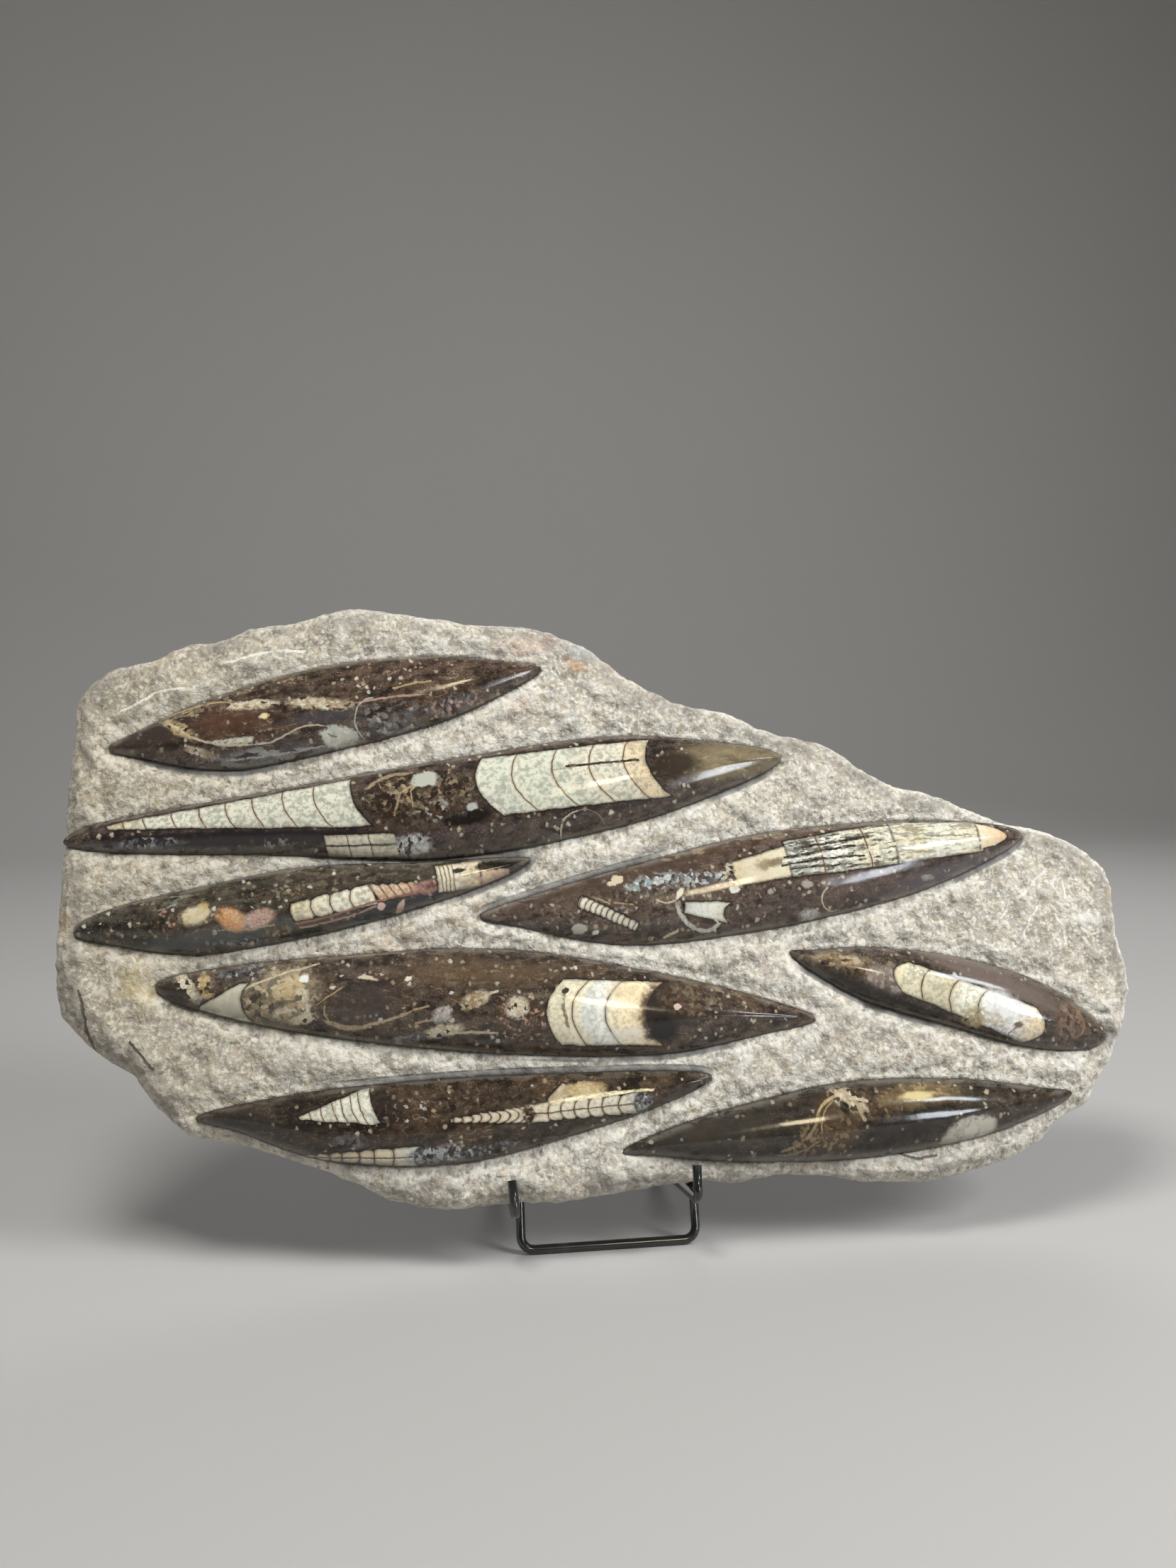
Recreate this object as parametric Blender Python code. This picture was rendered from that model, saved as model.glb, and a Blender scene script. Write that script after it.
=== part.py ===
"""A plate of limestone with carved and polished orthoceras shells, leaning on a black wire stand.

The plate is one natural piece of stone.  Its eight long shells swell out of a chiselled face as
polished, lens-shaped domes.  The stand is one welded piece made of two bent wires that cross below
the plate: a hook frame that carries it, and a back frame that it leans on.

Plate coordinates are u along the width, v up the sloping face and w out of the face.  Their origin
lies on the face, at the plate's lower edge, midway between the two hooks.
"""
import math
import random

import bmesh
import bpy
import numpy as np
from mathutils import Matrix, Quaternion, Vector, noise
from mathutils.geometry import delaunay_2d_cdt

MM = 0.001

# Where the plate stands and how far it leans back.
LEAN = math.radians(20)
PLATE_ORIGIN = Vector((-13.8, -58.5, 32.5)) * MM
THICKNESS = 24 * MM

# Outline of the plate's face in millimetres, clockwise from the left.
OUTLINE_MM = [
    (-257, 134), (-256, 170), (-255, 212), (-253, 250), (-247, 261), (-235, 269), (-219, 272),
    (-200, 282), (-187, 283), (-170, 290), (-145, 294), (-125, 301), (-100, 300), (-80, 297),
    (-51, 293), (-21, 291), (1, 282), (25, 263), (49, 250), (77, 243), (102, 232), (130, 226),
    (147, 213), (164, 202), (182, 198), (203, 190), (224, 181), (242, 177), (258, 171), (274, 161),
    (281, 155), (283, 148), (282, 121), (285, 100), (284, 87), (279, 74), (269, 54), (262, 46),
    (252, 31), (236, 25), (225, 15), (210, 8), (193, 3), (163, -2), (130, 0), (108, 4), (88, 6),
    (67, 3), (46, 5), (22, 3), (0, 1), (-20, -1), (-42, 0), (-72, -1), (-88, 1), (-104, 6),
    (-121, 15), (-138, 22), (-165, 32), (-194, 39), (-207, 51), (-219, 67), (-238, 79), (-254, 97),
    (-256, 108),
]
RIM_SPACING = 9 * MM
RIM_JITTER = 1.3 * MM

# Cross-section of the broken rim: how far each ring lies inside the outline, and its depth.
RIM_INSETS = (0.0, 2.0 * MM, 8.0 * MM)
RIM_DEPTHS = (9 * MM, 17 * MM, THICKNESS)
RIM_BEVEL = 14 * MM

# Chiselled face: height of its lumps and chips, and their sizes.
LUMP_HEIGHT, LUMP_SIZE = 3.6 * MM, 22 * MM
CHIP_HEIGHT, CHIP_SIZE = 3.2 * MM, 8 * MM
FACE_SPACING = 8.6 * MM
BACK_SPACING = 26 * MM
BACK_HOLLOW = 1.6 * MM

# A groove is cut round each shell.
GROOVE_DEPTH = 2.8 * MM
GROOVE_HALF = 3.6 * MM
GROOVE_WIDTH = 9 * MM
SHELL_BASE = -1.0 * MM

# The shells: both tips, the offsets of the upper and lower edges from the line between the tips
# (five stations, closer together near the tips) and the height of the dome, all in millimetres.
SHELLS_MM = {
    "top_left": ((-235, 224), (-21, 266), (6.4, 16.7, 22.2, 17.1, 6.1), (8.1, 22.4, 23.1, 18.5, 8.2), 12),
    "long_upper": ((-255, 179), (104, 216), (7.2, 11.9, 18.4, 21.6, 10.1), (9.2, 18.4, 32, 26.6, 12), 12),
    "left": ((-247, 134), (-30, 165), (8.3, 12.3, 13.9, 7.2, 2.9), (7.7, 19.8, 20.2, 15.1, 7.4), 11),
    "right": ((-56, 137), (233, 173), (5, 12.7, 20, 16.7, 8.3), (9, 26.3, 29.2, 23.9, 11.4), 12),
    "centre": ((-209, 108), (110, 80), (8.9, 18.6, 26.5, 18.9, 7.9), (10.3, 19.5, 23.8, 20.7, 7.2), 13),
    "small_right": ((100, 114), (264, 65), (4.1, 13.7, 19.8, 19.2, 9.3), (6.5, 14.4, 15.9, 16.1, 10), 11),
    "bottom_left": ((-189, 47), (55, 55), (4.4, 8.4, 8.9, 6.6, 3.7), (6.7, 24.7, 30.2, 20.3, 8.9), 11),
    "bottom_right": ((9, 21), (241, 38), (6.6, 14.7, 19.7, 14, 4.4), (3.2, 11.5, 17.4, 15.6, 7.5), 11),
}
SHELL_SPACING = 13 * MM
SHELL_LANES = (-1, -0.78, -0.42, 0, 0.42, 0.78, 1)

# Wire stand, seen from the front: x and z from the plate's origin.
WIRE_RADIUS = 2.25 * MM
WIRE_SIDES = 12
BEND_RADIUS = 6 * MM
HOOK_BEND = 4 * MM
BEND_STEPS = 5
GAP = 0.3 * MM
HOOK_X = 43.2 * MM
HOOK_Y = -4.3 * MM
HOOK_Z = (-2.7 * MM, -0.6 * MM)
PRONG_LENGTH = 16 * MM
PRONG_SPLAY = 1.4 * MM
REAR_BAR_Y = 116 * MM
WELD_OFFSET = 4.2 * MM
BACK_FRAME_TOP = 190 * MM
BEAD_SIZE = Vector((3.2, 3.0, 3.0)) * MM
SEAT_HALF = 12 * MM

STONE = ("stone", (0.50, 0.46, 0.40), 0.85, 0.0)
BLACK_PAINT = ("black_paint", (0.015, 0.015, 0.016), 0.3, 0.0)


def clear_scene():
    for obj in list(bpy.data.objects):
        bpy.data.objects.remove(obj)


def make_material(name, color, roughness, metallic):
    material = bpy.data.materials.new(name)
    material.use_nodes = True
    shader = material.node_tree.nodes["Principled BSDF"]
    shader.inputs["Base Color"].default_value = (*color, 1)
    shader.inputs["Roughness"].default_value = roughness
    shader.inputs["Metallic"].default_value = metallic
    return material


def add_object(name, mesh_builder, material):
    """Turn a bmesh into one named object."""
    mesh = bpy.data.meshes.new(name)
    mesh_builder.to_mesh(mesh)
    mesh_builder.free()
    mesh.materials.append(material)
    obj = bpy.data.objects.new(name, mesh)
    bpy.context.scene.collection.objects.link(obj)
    return obj


# ---------------------------------------------------------------- plate

def plate_point(u, v, w):
    """World position of a point given in plate coordinates."""
    along_y = v * math.sin(LEAN) - w * math.cos(LEAN)
    along_z = v * math.cos(LEAN) + w * math.sin(LEAN)
    return PLATE_ORIGIN + Vector((u, along_y, along_z))


def resample(points, spacing):
    """Points at an even spacing along a closed line."""
    closed = np.vstack([points, points[:1]])
    reach = np.concatenate([[0], np.cumsum(np.linalg.norm(np.diff(closed, axis=0), axis=1))])
    count = round(reach[-1] / spacing)
    at = np.linspace(0, reach[-1], count, endpoint=False)
    return np.stack([np.interp(at, reach, closed[:, axis]) for axis in (0, 1)], axis=1)


def inward_normals(ring):
    """Unit normals that point into a clockwise ring, smoothed over the neighbours."""
    along = np.roll(ring, -1, axis=0) - np.roll(ring, 1, axis=0)
    normals = np.stack([along[:, 1], -along[:, 0]], axis=1)
    for _ in range(2):
        normals = (np.roll(normals, 1, axis=0) + 2 * normals + np.roll(normals, -1, axis=0)) / 4
    return normals / np.linalg.norm(normals, axis=1)[:, None]


def rim_ring():
    """The plate's outline, slightly ragged."""
    ring = resample(np.array(OUTLINE_MM) * MM, RIM_SPACING)
    normals = inward_normals(ring)
    ragged = np.array([noise.noise(Vector((u, v, 0)) / (14 * MM)) for u, v in ring])
    return ring + normals * (RIM_JITTER * (0.5 + ragged))[:, None]


def distance_to_ring(point, ring):
    """Shortest distance from a point to a closed line."""
    start, end = ring, np.roll(ring, -1, axis=0)
    along = end - start
    share = ((point - start) * along).sum(axis=1) / (along * along).sum(axis=1)
    nearest = start + along * np.clip(share, 0, 1)[:, None]
    return float(np.linalg.norm(point - nearest, axis=1).min())


def rim_drop(distance):
    """How far the face falls away towards the rim."""
    share = max(0.0, 1 - distance / RIM_BEVEL)
    return RIM_DEPTHS[0] * share ** 1.8


def station_offset(offsets, angle):
    """Edge offset at an angle from 0 at the first tip to pi at the second."""
    knots = [-offsets[0], 0, *offsets, 0, -offsets[-1]]
    place = angle / math.pi * 6
    index = min(int(place), 5)
    t = place - index
    a, b, c, d = knots[index:index + 4]
    return b + 0.5 * t * (c - a + t * (2 * a - 5 * b + 4 * c - d + t * (3 * (b - c) + d - a)))


class Shell:
    """One lens-shaped dome."""

    def __init__(self, first_tip, second_tip, upper, lower, height):
        self.first = np.array(first_tip) * MM
        along = np.array(second_tip) * MM - self.first
        self.length = float(np.linalg.norm(along))
        self.along = along / self.length
        self.across = np.array([-self.along[1], self.along[0]])
        self.upper, self.lower = upper, lower
        self.height = height * MM
        self.widest = max(self.half_width(math.radians(a)) for a in range(10, 171, 5))

    def edges(self, angle):
        return station_offset(self.upper, angle) * MM, -station_offset(self.lower, angle) * MM

    def half_width(self, angle):
        top, bottom = self.edges(angle)
        return (top - bottom) / 2

    def point(self, angle, lane):
        """A point in (u, v): lane runs from -1 on the lower edge to 1 on the upper edge."""
        top, bottom = self.edges(angle)
        offset = (top + bottom) / 2 + lane * (top - bottom) / 2
        travel = self.length * (1 - math.cos(angle)) / 2
        return self.first + self.along * travel + self.across * offset

    def locate(self, point):
        """The angle and lane of a point, and its rough distance outside the edge."""
        travel, offset = (point - self.first) @ self.along, (point - self.first) @ self.across
        share = min(max(travel / self.length, 0.0), 1.0)
        angle = math.acos(1 - 2 * share)
        top, bottom = self.edges(angle)
        half = max((top - bottom) / 2, 1e-6)
        lane = (offset - (top + bottom) / 2) / half
        beyond = max(-travel, travel - self.length, 0.0)
        outside = math.hypot(beyond, max(offset - top, bottom - offset, 0.0))
        return angle, lane, outside

    def dome(self, angle, lane):
        swell = max(0.0, self.half_width(angle) / self.widest) ** 0.85
        return self.height * swell * max(0.0, 1 - lane * lane) ** 0.7


SHELLS = [Shell(*sizes) for sizes in SHELLS_MM.values()]


def lumps(u, v):
    """Height of the chiselled face without rim, grooves or shells."""
    broad = noise.noise(Vector((u, v, 0)) / LUMP_SIZE)
    chips = noise.noise(Vector((u, v, 0.05)) / CHIP_SIZE)
    return LUMP_HEIGHT * broad + CHIP_HEIGHT * chips


def shell_base(rim_distance):
    return SHELL_BASE - 0.55 * rim_drop(rim_distance)


def face_height(point, ring):
    """Height of the stone between the shells."""
    rim_distance = distance_to_ring(point, ring)
    outside = min(shell.locate(point)[2] for shell in SHELLS)
    groove = GROOVE_DEPTH * max(0.0, 1 - abs(outside - GROOVE_HALF) / GROOVE_WIDTH)
    calm = min(1.0, outside / GROOVE_WIDTH)
    return lumps(*point) * (0.35 + 0.65 * calm) - rim_drop(rim_distance) - groove * (1 - calm)


def shell_points(shell, ring):
    """The dome's lattice, as (u, v, w), and its edge as indices into that list."""
    steps = max(12, round(shell.length / SHELL_SPACING))
    points, rows = [], []
    for step in range(steps + 1):
        angle = math.pi * step / steps
        lanes = (0,) if step in (0, steps) else SHELL_LANES
        rows.append([len(points) + i for i in range(len(lanes))])
        for lane in lanes:
            place = shell.point(angle, lane)
            base = shell_base(distance_to_ring(place, ring))
            points.append((*place, base + shell.dome(angle, lane)))
    edge = [row[0] for row in rows] + [row[-1] for row in reversed(rows[1:-1])]
    return points, edge


def groove_points(shell, ring):
    """Points along the bottom of the groove round one shell."""
    steps = max(12, round(shell.length / SHELL_SPACING))
    points = []
    for side in (-1, 1):
        for step in range(1, steps):
            angle = math.pi * step / steps
            edge = shell.point(angle, side)
            centre = shell.point(angle, 0)
            outward = (edge - centre) / np.linalg.norm(edge - centre)
            points.append(edge + outward * GROOVE_HALF)
    return points


def lattice(ring, spacing, seed):
    """Jittered rows of points that fill the outline."""
    dice = random.Random(seed)
    low, high = ring.min(axis=0), ring.max(axis=0)
    points, row, v = [], 0, low[1]
    while v < high[1]:
        u = low[0] + (row % 2) * spacing / 2
        while u < high[0]:
            shift = np.array([dice.uniform(-0.3, 0.3), dice.uniform(-0.3, 0.3)]) * spacing
            points.append(np.array([u, v]) + shift)
            u += spacing
        v += spacing * 0.87
        row += 1
    return points


def inside_ring(point, ring):
    """Even-odd test."""
    a, b = ring, np.roll(ring, -1, axis=0)
    crosses = (a[:, 1] > point[1]) != (b[:, 1] > point[1])
    a, b = a[crosses], b[crosses]
    at = a[:, 0] + (point[1] - a[:, 1]) * (b[:, 0] - a[:, 0]) / (b[:, 1] - a[:, 1])
    return int((at > point[0]).sum()) % 2 == 1


def clear_of_shells(point, margin):
    return all(shell.locate(point)[2] > margin for shell in SHELLS)


def fits(point, ring, rim_margin, shell_margin):
    return (inside_ring(point, ring) and distance_to_ring(point, ring) > rim_margin
            and clear_of_shells(point, shell_margin))


def face_points(ring):
    """All points of the face and the edges that its triangles must keep."""
    points = [(*place, face_height(place, ring)) for place in ring]
    edges = [(i, (i + 1) % len(ring)) for i in range(len(ring))]
    for shell in SHELLS:
        lattice_points, edge = shell_points(shell, ring)
        start = len(points)
        points += lattice_points
        edges += [(start + edge[i], start + edge[(i + 1) % len(edge)]) for i in range(len(edge))]
    loose = [ring + inward_normals(ring) * RIM_BEVEL * share for share in (0.35, 0.8)]
    loose = [place for row in loose for place in row]
    keep = [place for place in loose if fits(place, ring, 3 * MM, 2.5 * MM)]
    grooves = [place for shell in SHELLS for place in groove_points(shell, ring)]
    keep += [place for place in grooves if fits(place, ring, 3 * MM, GROOVE_HALF * 0.85)]
    filled = lattice(ring, FACE_SPACING, seed=4)
    keep += [place for place in filled if fits(place, ring, RIM_BEVEL, GROOVE_HALF * 2)]
    points += [(*place, face_height(place, ring)) for place in keep]
    return points, edges


def triangulate(points, edges):
    """Triangles over flat points, with the outer edges kept."""
    flat = [Vector(point[:2]) / MM for point in points]
    result = delaunay_2d_cdt(flat, edges, [], 1, 0.001)
    coords, faces, sources = result[0], result[2], result[3]
    return coords, faces, sources


def add_sheet(builder, points, edges, flip):
    """Add a triangulated sheet and return its vertices in the order of the points."""
    coords, faces, sources = triangulate(points, edges)
    made, by_point = [], {}
    for coord, origin in zip(coords, sources):
        depth = points[origin[0]][2]
        made.append(builder.verts.new(plate_point(coord.x * MM, coord.y * MM, depth)))
        for index in origin:
            by_point[index] = made[-1]
    for face in faces:
        corners = [made[i] for i in face]
        builder.faces.new(reversed(corners) if flip else corners)
    return by_point


def seat_height(x, y):
    """Height of the flat on the plate's lower edge where it rests on a hook's run."""
    side = 0 if x < 0 else 1
    slope = (bar_height() - HOOK_Z[side]) / (REAR_BAR_Y - HOOK_Y)
    lift = WIRE_RADIUS * math.hypot(1, slope) + GAP
    return HOOK_Z[side] + slope * (y - HOOK_Y) + lift


def seat(u, v, w):
    """Move a point of the lower rim onto its hook's seat."""
    if v > 20 * MM or abs(abs(u) - HOOK_X) > SEAT_HALF:
        return v
    sin, cos = math.sin(LEAN), math.cos(LEAN)
    slope = (bar_height() - HOOK_Z[0 if u < 0 else 1]) / (REAR_BAR_Y - HOOK_Y)
    flat = (seat_height(u, 0) - w * (sin + slope * cos)) / (cos - slope * sin)
    return max(v, flat) if w > -1.2 * RIM_DEPTHS[0] else flat


def rim_rings(ring):
    """The rings that make the side, from the face's edge to the back's edge, as (u, v, w)."""
    normals = inward_normals(ring)
    rings = []
    for inset, depth in zip(RIM_INSETS[1:], RIM_DEPTHS[1:]):
        row = []
        for place, normal in zip(ring, normals):
            rough = 1.2 * MM * noise.noise(Vector((*place, depth)) / (11 * MM))
            u, v = place + normal * (inset + rough + 0.6 * MM)
            w = -depth if depth == THICKNESS else rough - depth
            row.append((u, seat(u, v, w), w))
        rings.append(row)
    return rings


def back_points(back_ring):
    """Points of the back: shallow hollows between flats that lie in one plane."""
    flat_ring = np.array([point[:2] for point in back_ring])
    edges = [(i, (i + 1) % len(back_ring)) for i in range(len(back_ring))]
    points = list(back_ring)
    for place in lattice(flat_ring, BACK_SPACING, seed=9):
        if inside_ring(place, flat_ring) and distance_to_ring(place, flat_ring) > 9 * MM:
            hollow = BACK_HOLLOW * max(0.0, noise.noise(Vector((*place, 3)) / (60 * MM)) - 0.05) * 2
            points.append((*place, -THICKNESS + hollow))
    return points, edges


def build_plate(material):
    ring = rim_ring()
    ring = np.array([(u, seat(u, v, -RIM_DEPTHS[0])) for u, v in ring])
    builder = bmesh.new()
    face = add_sheet(builder, *face_points(ring), flip=False)
    rings = rim_rings(ring)
    side = [[face[i] for i in range(len(ring))]]
    side.append([builder.verts.new(plate_point(*point)) for point in rings[0]])
    back = add_sheet(builder, *back_points(rings[1]), flip=True)
    side.append([back[i] for i in range(len(ring))])
    for near, far in zip(side, side[1:]):
        for i in range(len(ring)):
            j = (i + 1) % len(ring)
            builder.faces.new((near[i], near[j], far[j], far[i]))
    bmesh.ops.triangulate(builder, faces=[face for face in builder.faces if len(face.verts) > 3])
    bmesh.ops.recalc_face_normals(builder, faces=builder.faces)
    return add_object("slab", builder, material)


# ---------------------------------------------------------------- stand

def bar_height():
    """Height of a bar that lies on the table, from the plate's origin."""
    flat = WIRE_RADIUS * math.cos(math.pi / WIRE_SIDES)
    return flat - PLATE_ORIGIN.z


def rounded_path(corners, radii, closed):
    """A line through corners, each rounded by an arc of its own radius."""
    points = []
    for i, corner in enumerate(corners):
        if not closed and i in (0, len(corners) - 1):
            points.append(corner)
            continue
        back = (corners[i - 1] - corner).normalized()
        ahead = (corners[(i + 1) % len(corners)] - corner).normalized()
        half = back.angle(ahead) / 2
        centre = corner + (back + ahead).normalized() * radii[i] / math.sin(half)
        start = corner + back * radii[i] / math.tan(half) - centre
        axis = back.cross(ahead).normalized()
        turn = math.pi - 2 * half
        for step in range(BEND_STEPS + 1):
            spin = Quaternion(axis, -turn * step / BEND_STEPS)
            points.append(centre + spin @ start)
    return points


def tangents(path, closed):
    count = len(path)
    result = []
    for i in range(count):
        before = path[(i - 1) % count] if closed or i > 0 else path[i]
        after = path[(i + 1) % count] if closed or i < count - 1 else path[i]
        result.append(((after - path[i]).normalized() + (path[i] - before).normalized()).normalized())
    return result


def carried_frames(directions, start, normal):
    """A normal carried along the path both ways from a start point without twisting."""
    count = len(directions)
    normals = {start: normal}
    for step in (1, -1):
        i = start
        while 0 <= i + step < count:
            turn = directions[i].rotation_difference(directions[i + step])
            normals[i + step] = turn @ normals[i]
            i += step
    return [normals[i] for i in range(count)]


def mitre_scale(path, directions, i, closed):
    """How much wider a ring is at a bend, so that the wire keeps its thickness."""
    count = len(path)
    if not closed and i in (0, count - 1):
        return 1.0
    ahead = (path[(i + 1) % count] - path[i]).normalized()
    return 1.0 / max(ahead.dot(directions[i]), 0.5)


def wire(name, path, closed, start, material):
    """A round wire along a path; at the start point one of its flats faces down."""
    directions = tangents(path, closed)
    normals = carried_frames(directions, start, Vector((0, 0, -1)))
    builder = bmesh.new()
    rings = []
    for i, place in enumerate(path):
        side = directions[i].cross(normals[i])
        bend = bend_axis(path, i, closed)
        stretch = mitre_scale(path, directions, i, closed)
        ring = []
        for k in range(WIRE_SIDES):
            angle = 2 * math.pi * (k + 0.5) / WIRE_SIDES
            spoke = WIRE_RADIUS * (normals[i] * math.cos(angle) + side * math.sin(angle))
            if bend:
                reach = bend.cross(directions[i]).normalized()
                spoke += reach * spoke.dot(reach) * (stretch - 1)
            ring.append(builder.verts.new(place + spoke))
        rings.append(ring)
    pairs = list(zip(rings, rings[1:])) + ([(rings[-1], rings[0])] if closed else [])
    for near, far in pairs:
        for k in range(WIRE_SIDES):
            m = (k + 1) % WIRE_SIDES
            builder.faces.new((near[k], near[m], far[m], far[k]))
    if not closed:
        builder.faces.new(rings[0])
        builder.faces.new(rings[-1])
    bmesh.ops.recalc_face_normals(builder, faces=builder.faces)
    return add_object(name, builder, material)


def bend_axis(path, i, closed):
    """The axis that the path turns about at a point, or None where it runs straight."""
    count = len(path)
    if not closed and i in (0, count - 1):
        return None
    axis = (path[i] - path[i - 1]).cross(path[(i + 1) % count] - path[i])
    return axis.normalized() if axis.length > 1e-12 else None


def hook_frame_path():
    """From the left prong's tip, under the plate, round the rear bar and back to the right tip."""
    up = Vector((0, math.sin(LEAN), math.cos(LEAN)))
    corners = []
    for side, height in zip((-1, 1), HOOK_Z):
        bottom = Vector((side * HOOK_X, HOOK_Y, height))
        splay = Vector((-PRONG_SPLAY, 0, 0)) if side < 0 else Vector((PRONG_SPLAY * 0.3, 0, 0))
        rear = Vector((side * HOOK_X, REAR_BAR_Y, bar_height()))
        arm = [bottom + up * PRONG_LENGTH + splay, bottom, rear]
        corners += arm if side < 0 else arm[::-1]
    radii = [0, HOOK_BEND, BEND_RADIUS, BEND_RADIUS, HOOK_BEND, 0]
    return [PLATE_ORIGIN + point for point in rounded_path(corners, radii, closed=False)]


def back_frame_path():
    """A closed loop behind the plate, in a plane that leans with it."""
    depth = -(THICKNESS + GAP + WIRE_RADIUS)
    rise_to_bar = (bar_height() - depth * math.sin(LEAN)) / math.cos(LEAN)
    left, right = -HOOK_X + WELD_OFFSET, HOOK_X + WELD_OFFSET
    middle = (left + right) / 2
    corners = [(middle, rise_to_bar), (right, rise_to_bar), (right, BACK_FRAME_TOP),
               (left, BACK_FRAME_TOP), (left, rise_to_bar)]
    points = [plate_point(u, v, depth) for u, v in corners]
    loop = rounded_path(points[1:], [BEND_RADIUS, 3 * BEND_RADIUS, 3 * BEND_RADIUS, BEND_RADIUS], True)
    return [points[0], *loop]


def crossing(side):
    """Where an arm of the hook frame passes a leg of the back frame, midway between them."""
    depth = -(THICKNESS + GAP + WIRE_RADIUS)
    height = HOOK_Z[0 if side < 0 else 1]
    slope = (bar_height() - height) / (REAR_BAR_Y - HOOK_Y)
    sin, cos = math.sin(LEAN), math.cos(LEAN)
    rise = (height + slope * (-depth * cos - HOOK_Y) - depth * sin) / (cos - slope * sin)
    return plate_point(side * HOOK_X + WELD_OFFSET / 2, rise, depth)


def add_bead(place, material):
    """A weld bead between two crossing wires."""
    builder = bmesh.new()
    bmesh.ops.create_icosphere(builder, subdivisions=2, radius=1)
    bmesh.ops.transform(builder, matrix=Matrix.Diagonal((*BEAD_SIZE, 1)), verts=builder.verts)
    bmesh.ops.translate(builder, vec=place, verts=builder.verts)
    return add_object("bead", builder, material)


def fuse(base, others):
    """Join solids into one body."""
    for other in others:
        union = base.modifiers.new("union", "BOOLEAN")
        union.operation = "UNION"
        union.solver = "EXACT"
        union.object = other
        other.hide_render = True
        other.display_type = "WIRE"


def build_stand(material):
    path = hook_frame_path()
    middle = len(path) // 2
    path.insert(middle, (path[middle - 1] + path[middle]) / 2)
    stand = wire("wire_stand", path, False, middle, material)
    back_frame = wire("back_frame", back_frame_path(), True, 0, material)
    beads = [add_bead(crossing(side), material) for side in (-1, 1)]
    fuse(stand, [back_frame, *beads])
    return stand


def main():
    clear_scene()
    stone = make_material(*STONE)
    paint = make_material(*BLACK_PAINT)
    plate = build_plate(stone)
    plate.data.set_sharp_from_angle(angle=math.radians(24))
    build_stand(paint)


main()
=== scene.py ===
import functools
import math

import bmesh
import bpy
import numpy as np
from mathutils import Matrix, Vector, kdtree, noise


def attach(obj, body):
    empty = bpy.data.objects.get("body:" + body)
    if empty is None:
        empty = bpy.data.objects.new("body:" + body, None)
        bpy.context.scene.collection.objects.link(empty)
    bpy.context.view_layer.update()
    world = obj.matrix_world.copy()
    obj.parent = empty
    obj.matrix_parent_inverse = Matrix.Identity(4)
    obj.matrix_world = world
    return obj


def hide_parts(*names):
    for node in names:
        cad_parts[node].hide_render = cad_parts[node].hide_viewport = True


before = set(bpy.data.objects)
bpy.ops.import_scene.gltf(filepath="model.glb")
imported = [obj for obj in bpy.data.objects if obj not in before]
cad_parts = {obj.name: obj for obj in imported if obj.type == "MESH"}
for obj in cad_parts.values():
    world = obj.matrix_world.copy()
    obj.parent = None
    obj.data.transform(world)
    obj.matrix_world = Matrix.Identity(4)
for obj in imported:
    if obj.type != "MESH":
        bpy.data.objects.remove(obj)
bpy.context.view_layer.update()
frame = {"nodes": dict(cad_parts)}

print("frame loaded:", ", ".join(frame["nodes"]))

mm = 0.001

# Plate coordinates, in millimetres: u along the width, v up the sloping face, w out of the face.
# Everything of stone is modelled lying flat in them and then stood up.
plate = {
    "lean": 20,                       # degrees back from upright
    "origin": (-13.8, -58.5, 32.5),   # on the face, at the lower edge between the hooks
    "thickness": 24,
    "rimDepth": 9,
    "rimBevel": 14,
    "rimCurve": 1.8,                  # power of the bevel's curve
    "ringSpacing": 4.5,               # between the corners of the blank
    "rimSpacing": 0.8,                # between the points that the rim is measured from
    "outline": [
        (-257, 134), (-256, 170), (-255, 212), (-253, 250), (-247, 261), (-235, 269), (-219, 272),
        (-200, 282), (-187, 283), (-170, 290), (-145, 294), (-125, 301), (-100, 300), (-80, 297),
        (-51, 293), (-21, 291), (1, 282), (25, 263), (49, 250), (77, 243), (102, 232), (130, 226),
        (147, 213), (164, 202), (182, 198), (203, 190), (224, 181), (242, 177), (258, 171),
        (274, 161), (281, 155), (283, 148), (282, 121), (285, 100), (284, 87), (279, 74), (269, 54),
        (262, 46), (252, 31), (236, 25), (225, 15), (210, 8), (193, 3), (163, -2), (130, 0),
        (108, 4), (88, 6), (67, 3), (46, 5), (22, 3), (0, 1), (-20, -1), (-42, 0), (-72, -1),
        (-88, 1), (-104, 6), (-121, 15), (-138, 22), (-165, 32), (-194, 39), (-207, 51),
        (-219, 67), (-238, 79), (-254, 97), (-256, 108),
    ],
}

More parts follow.
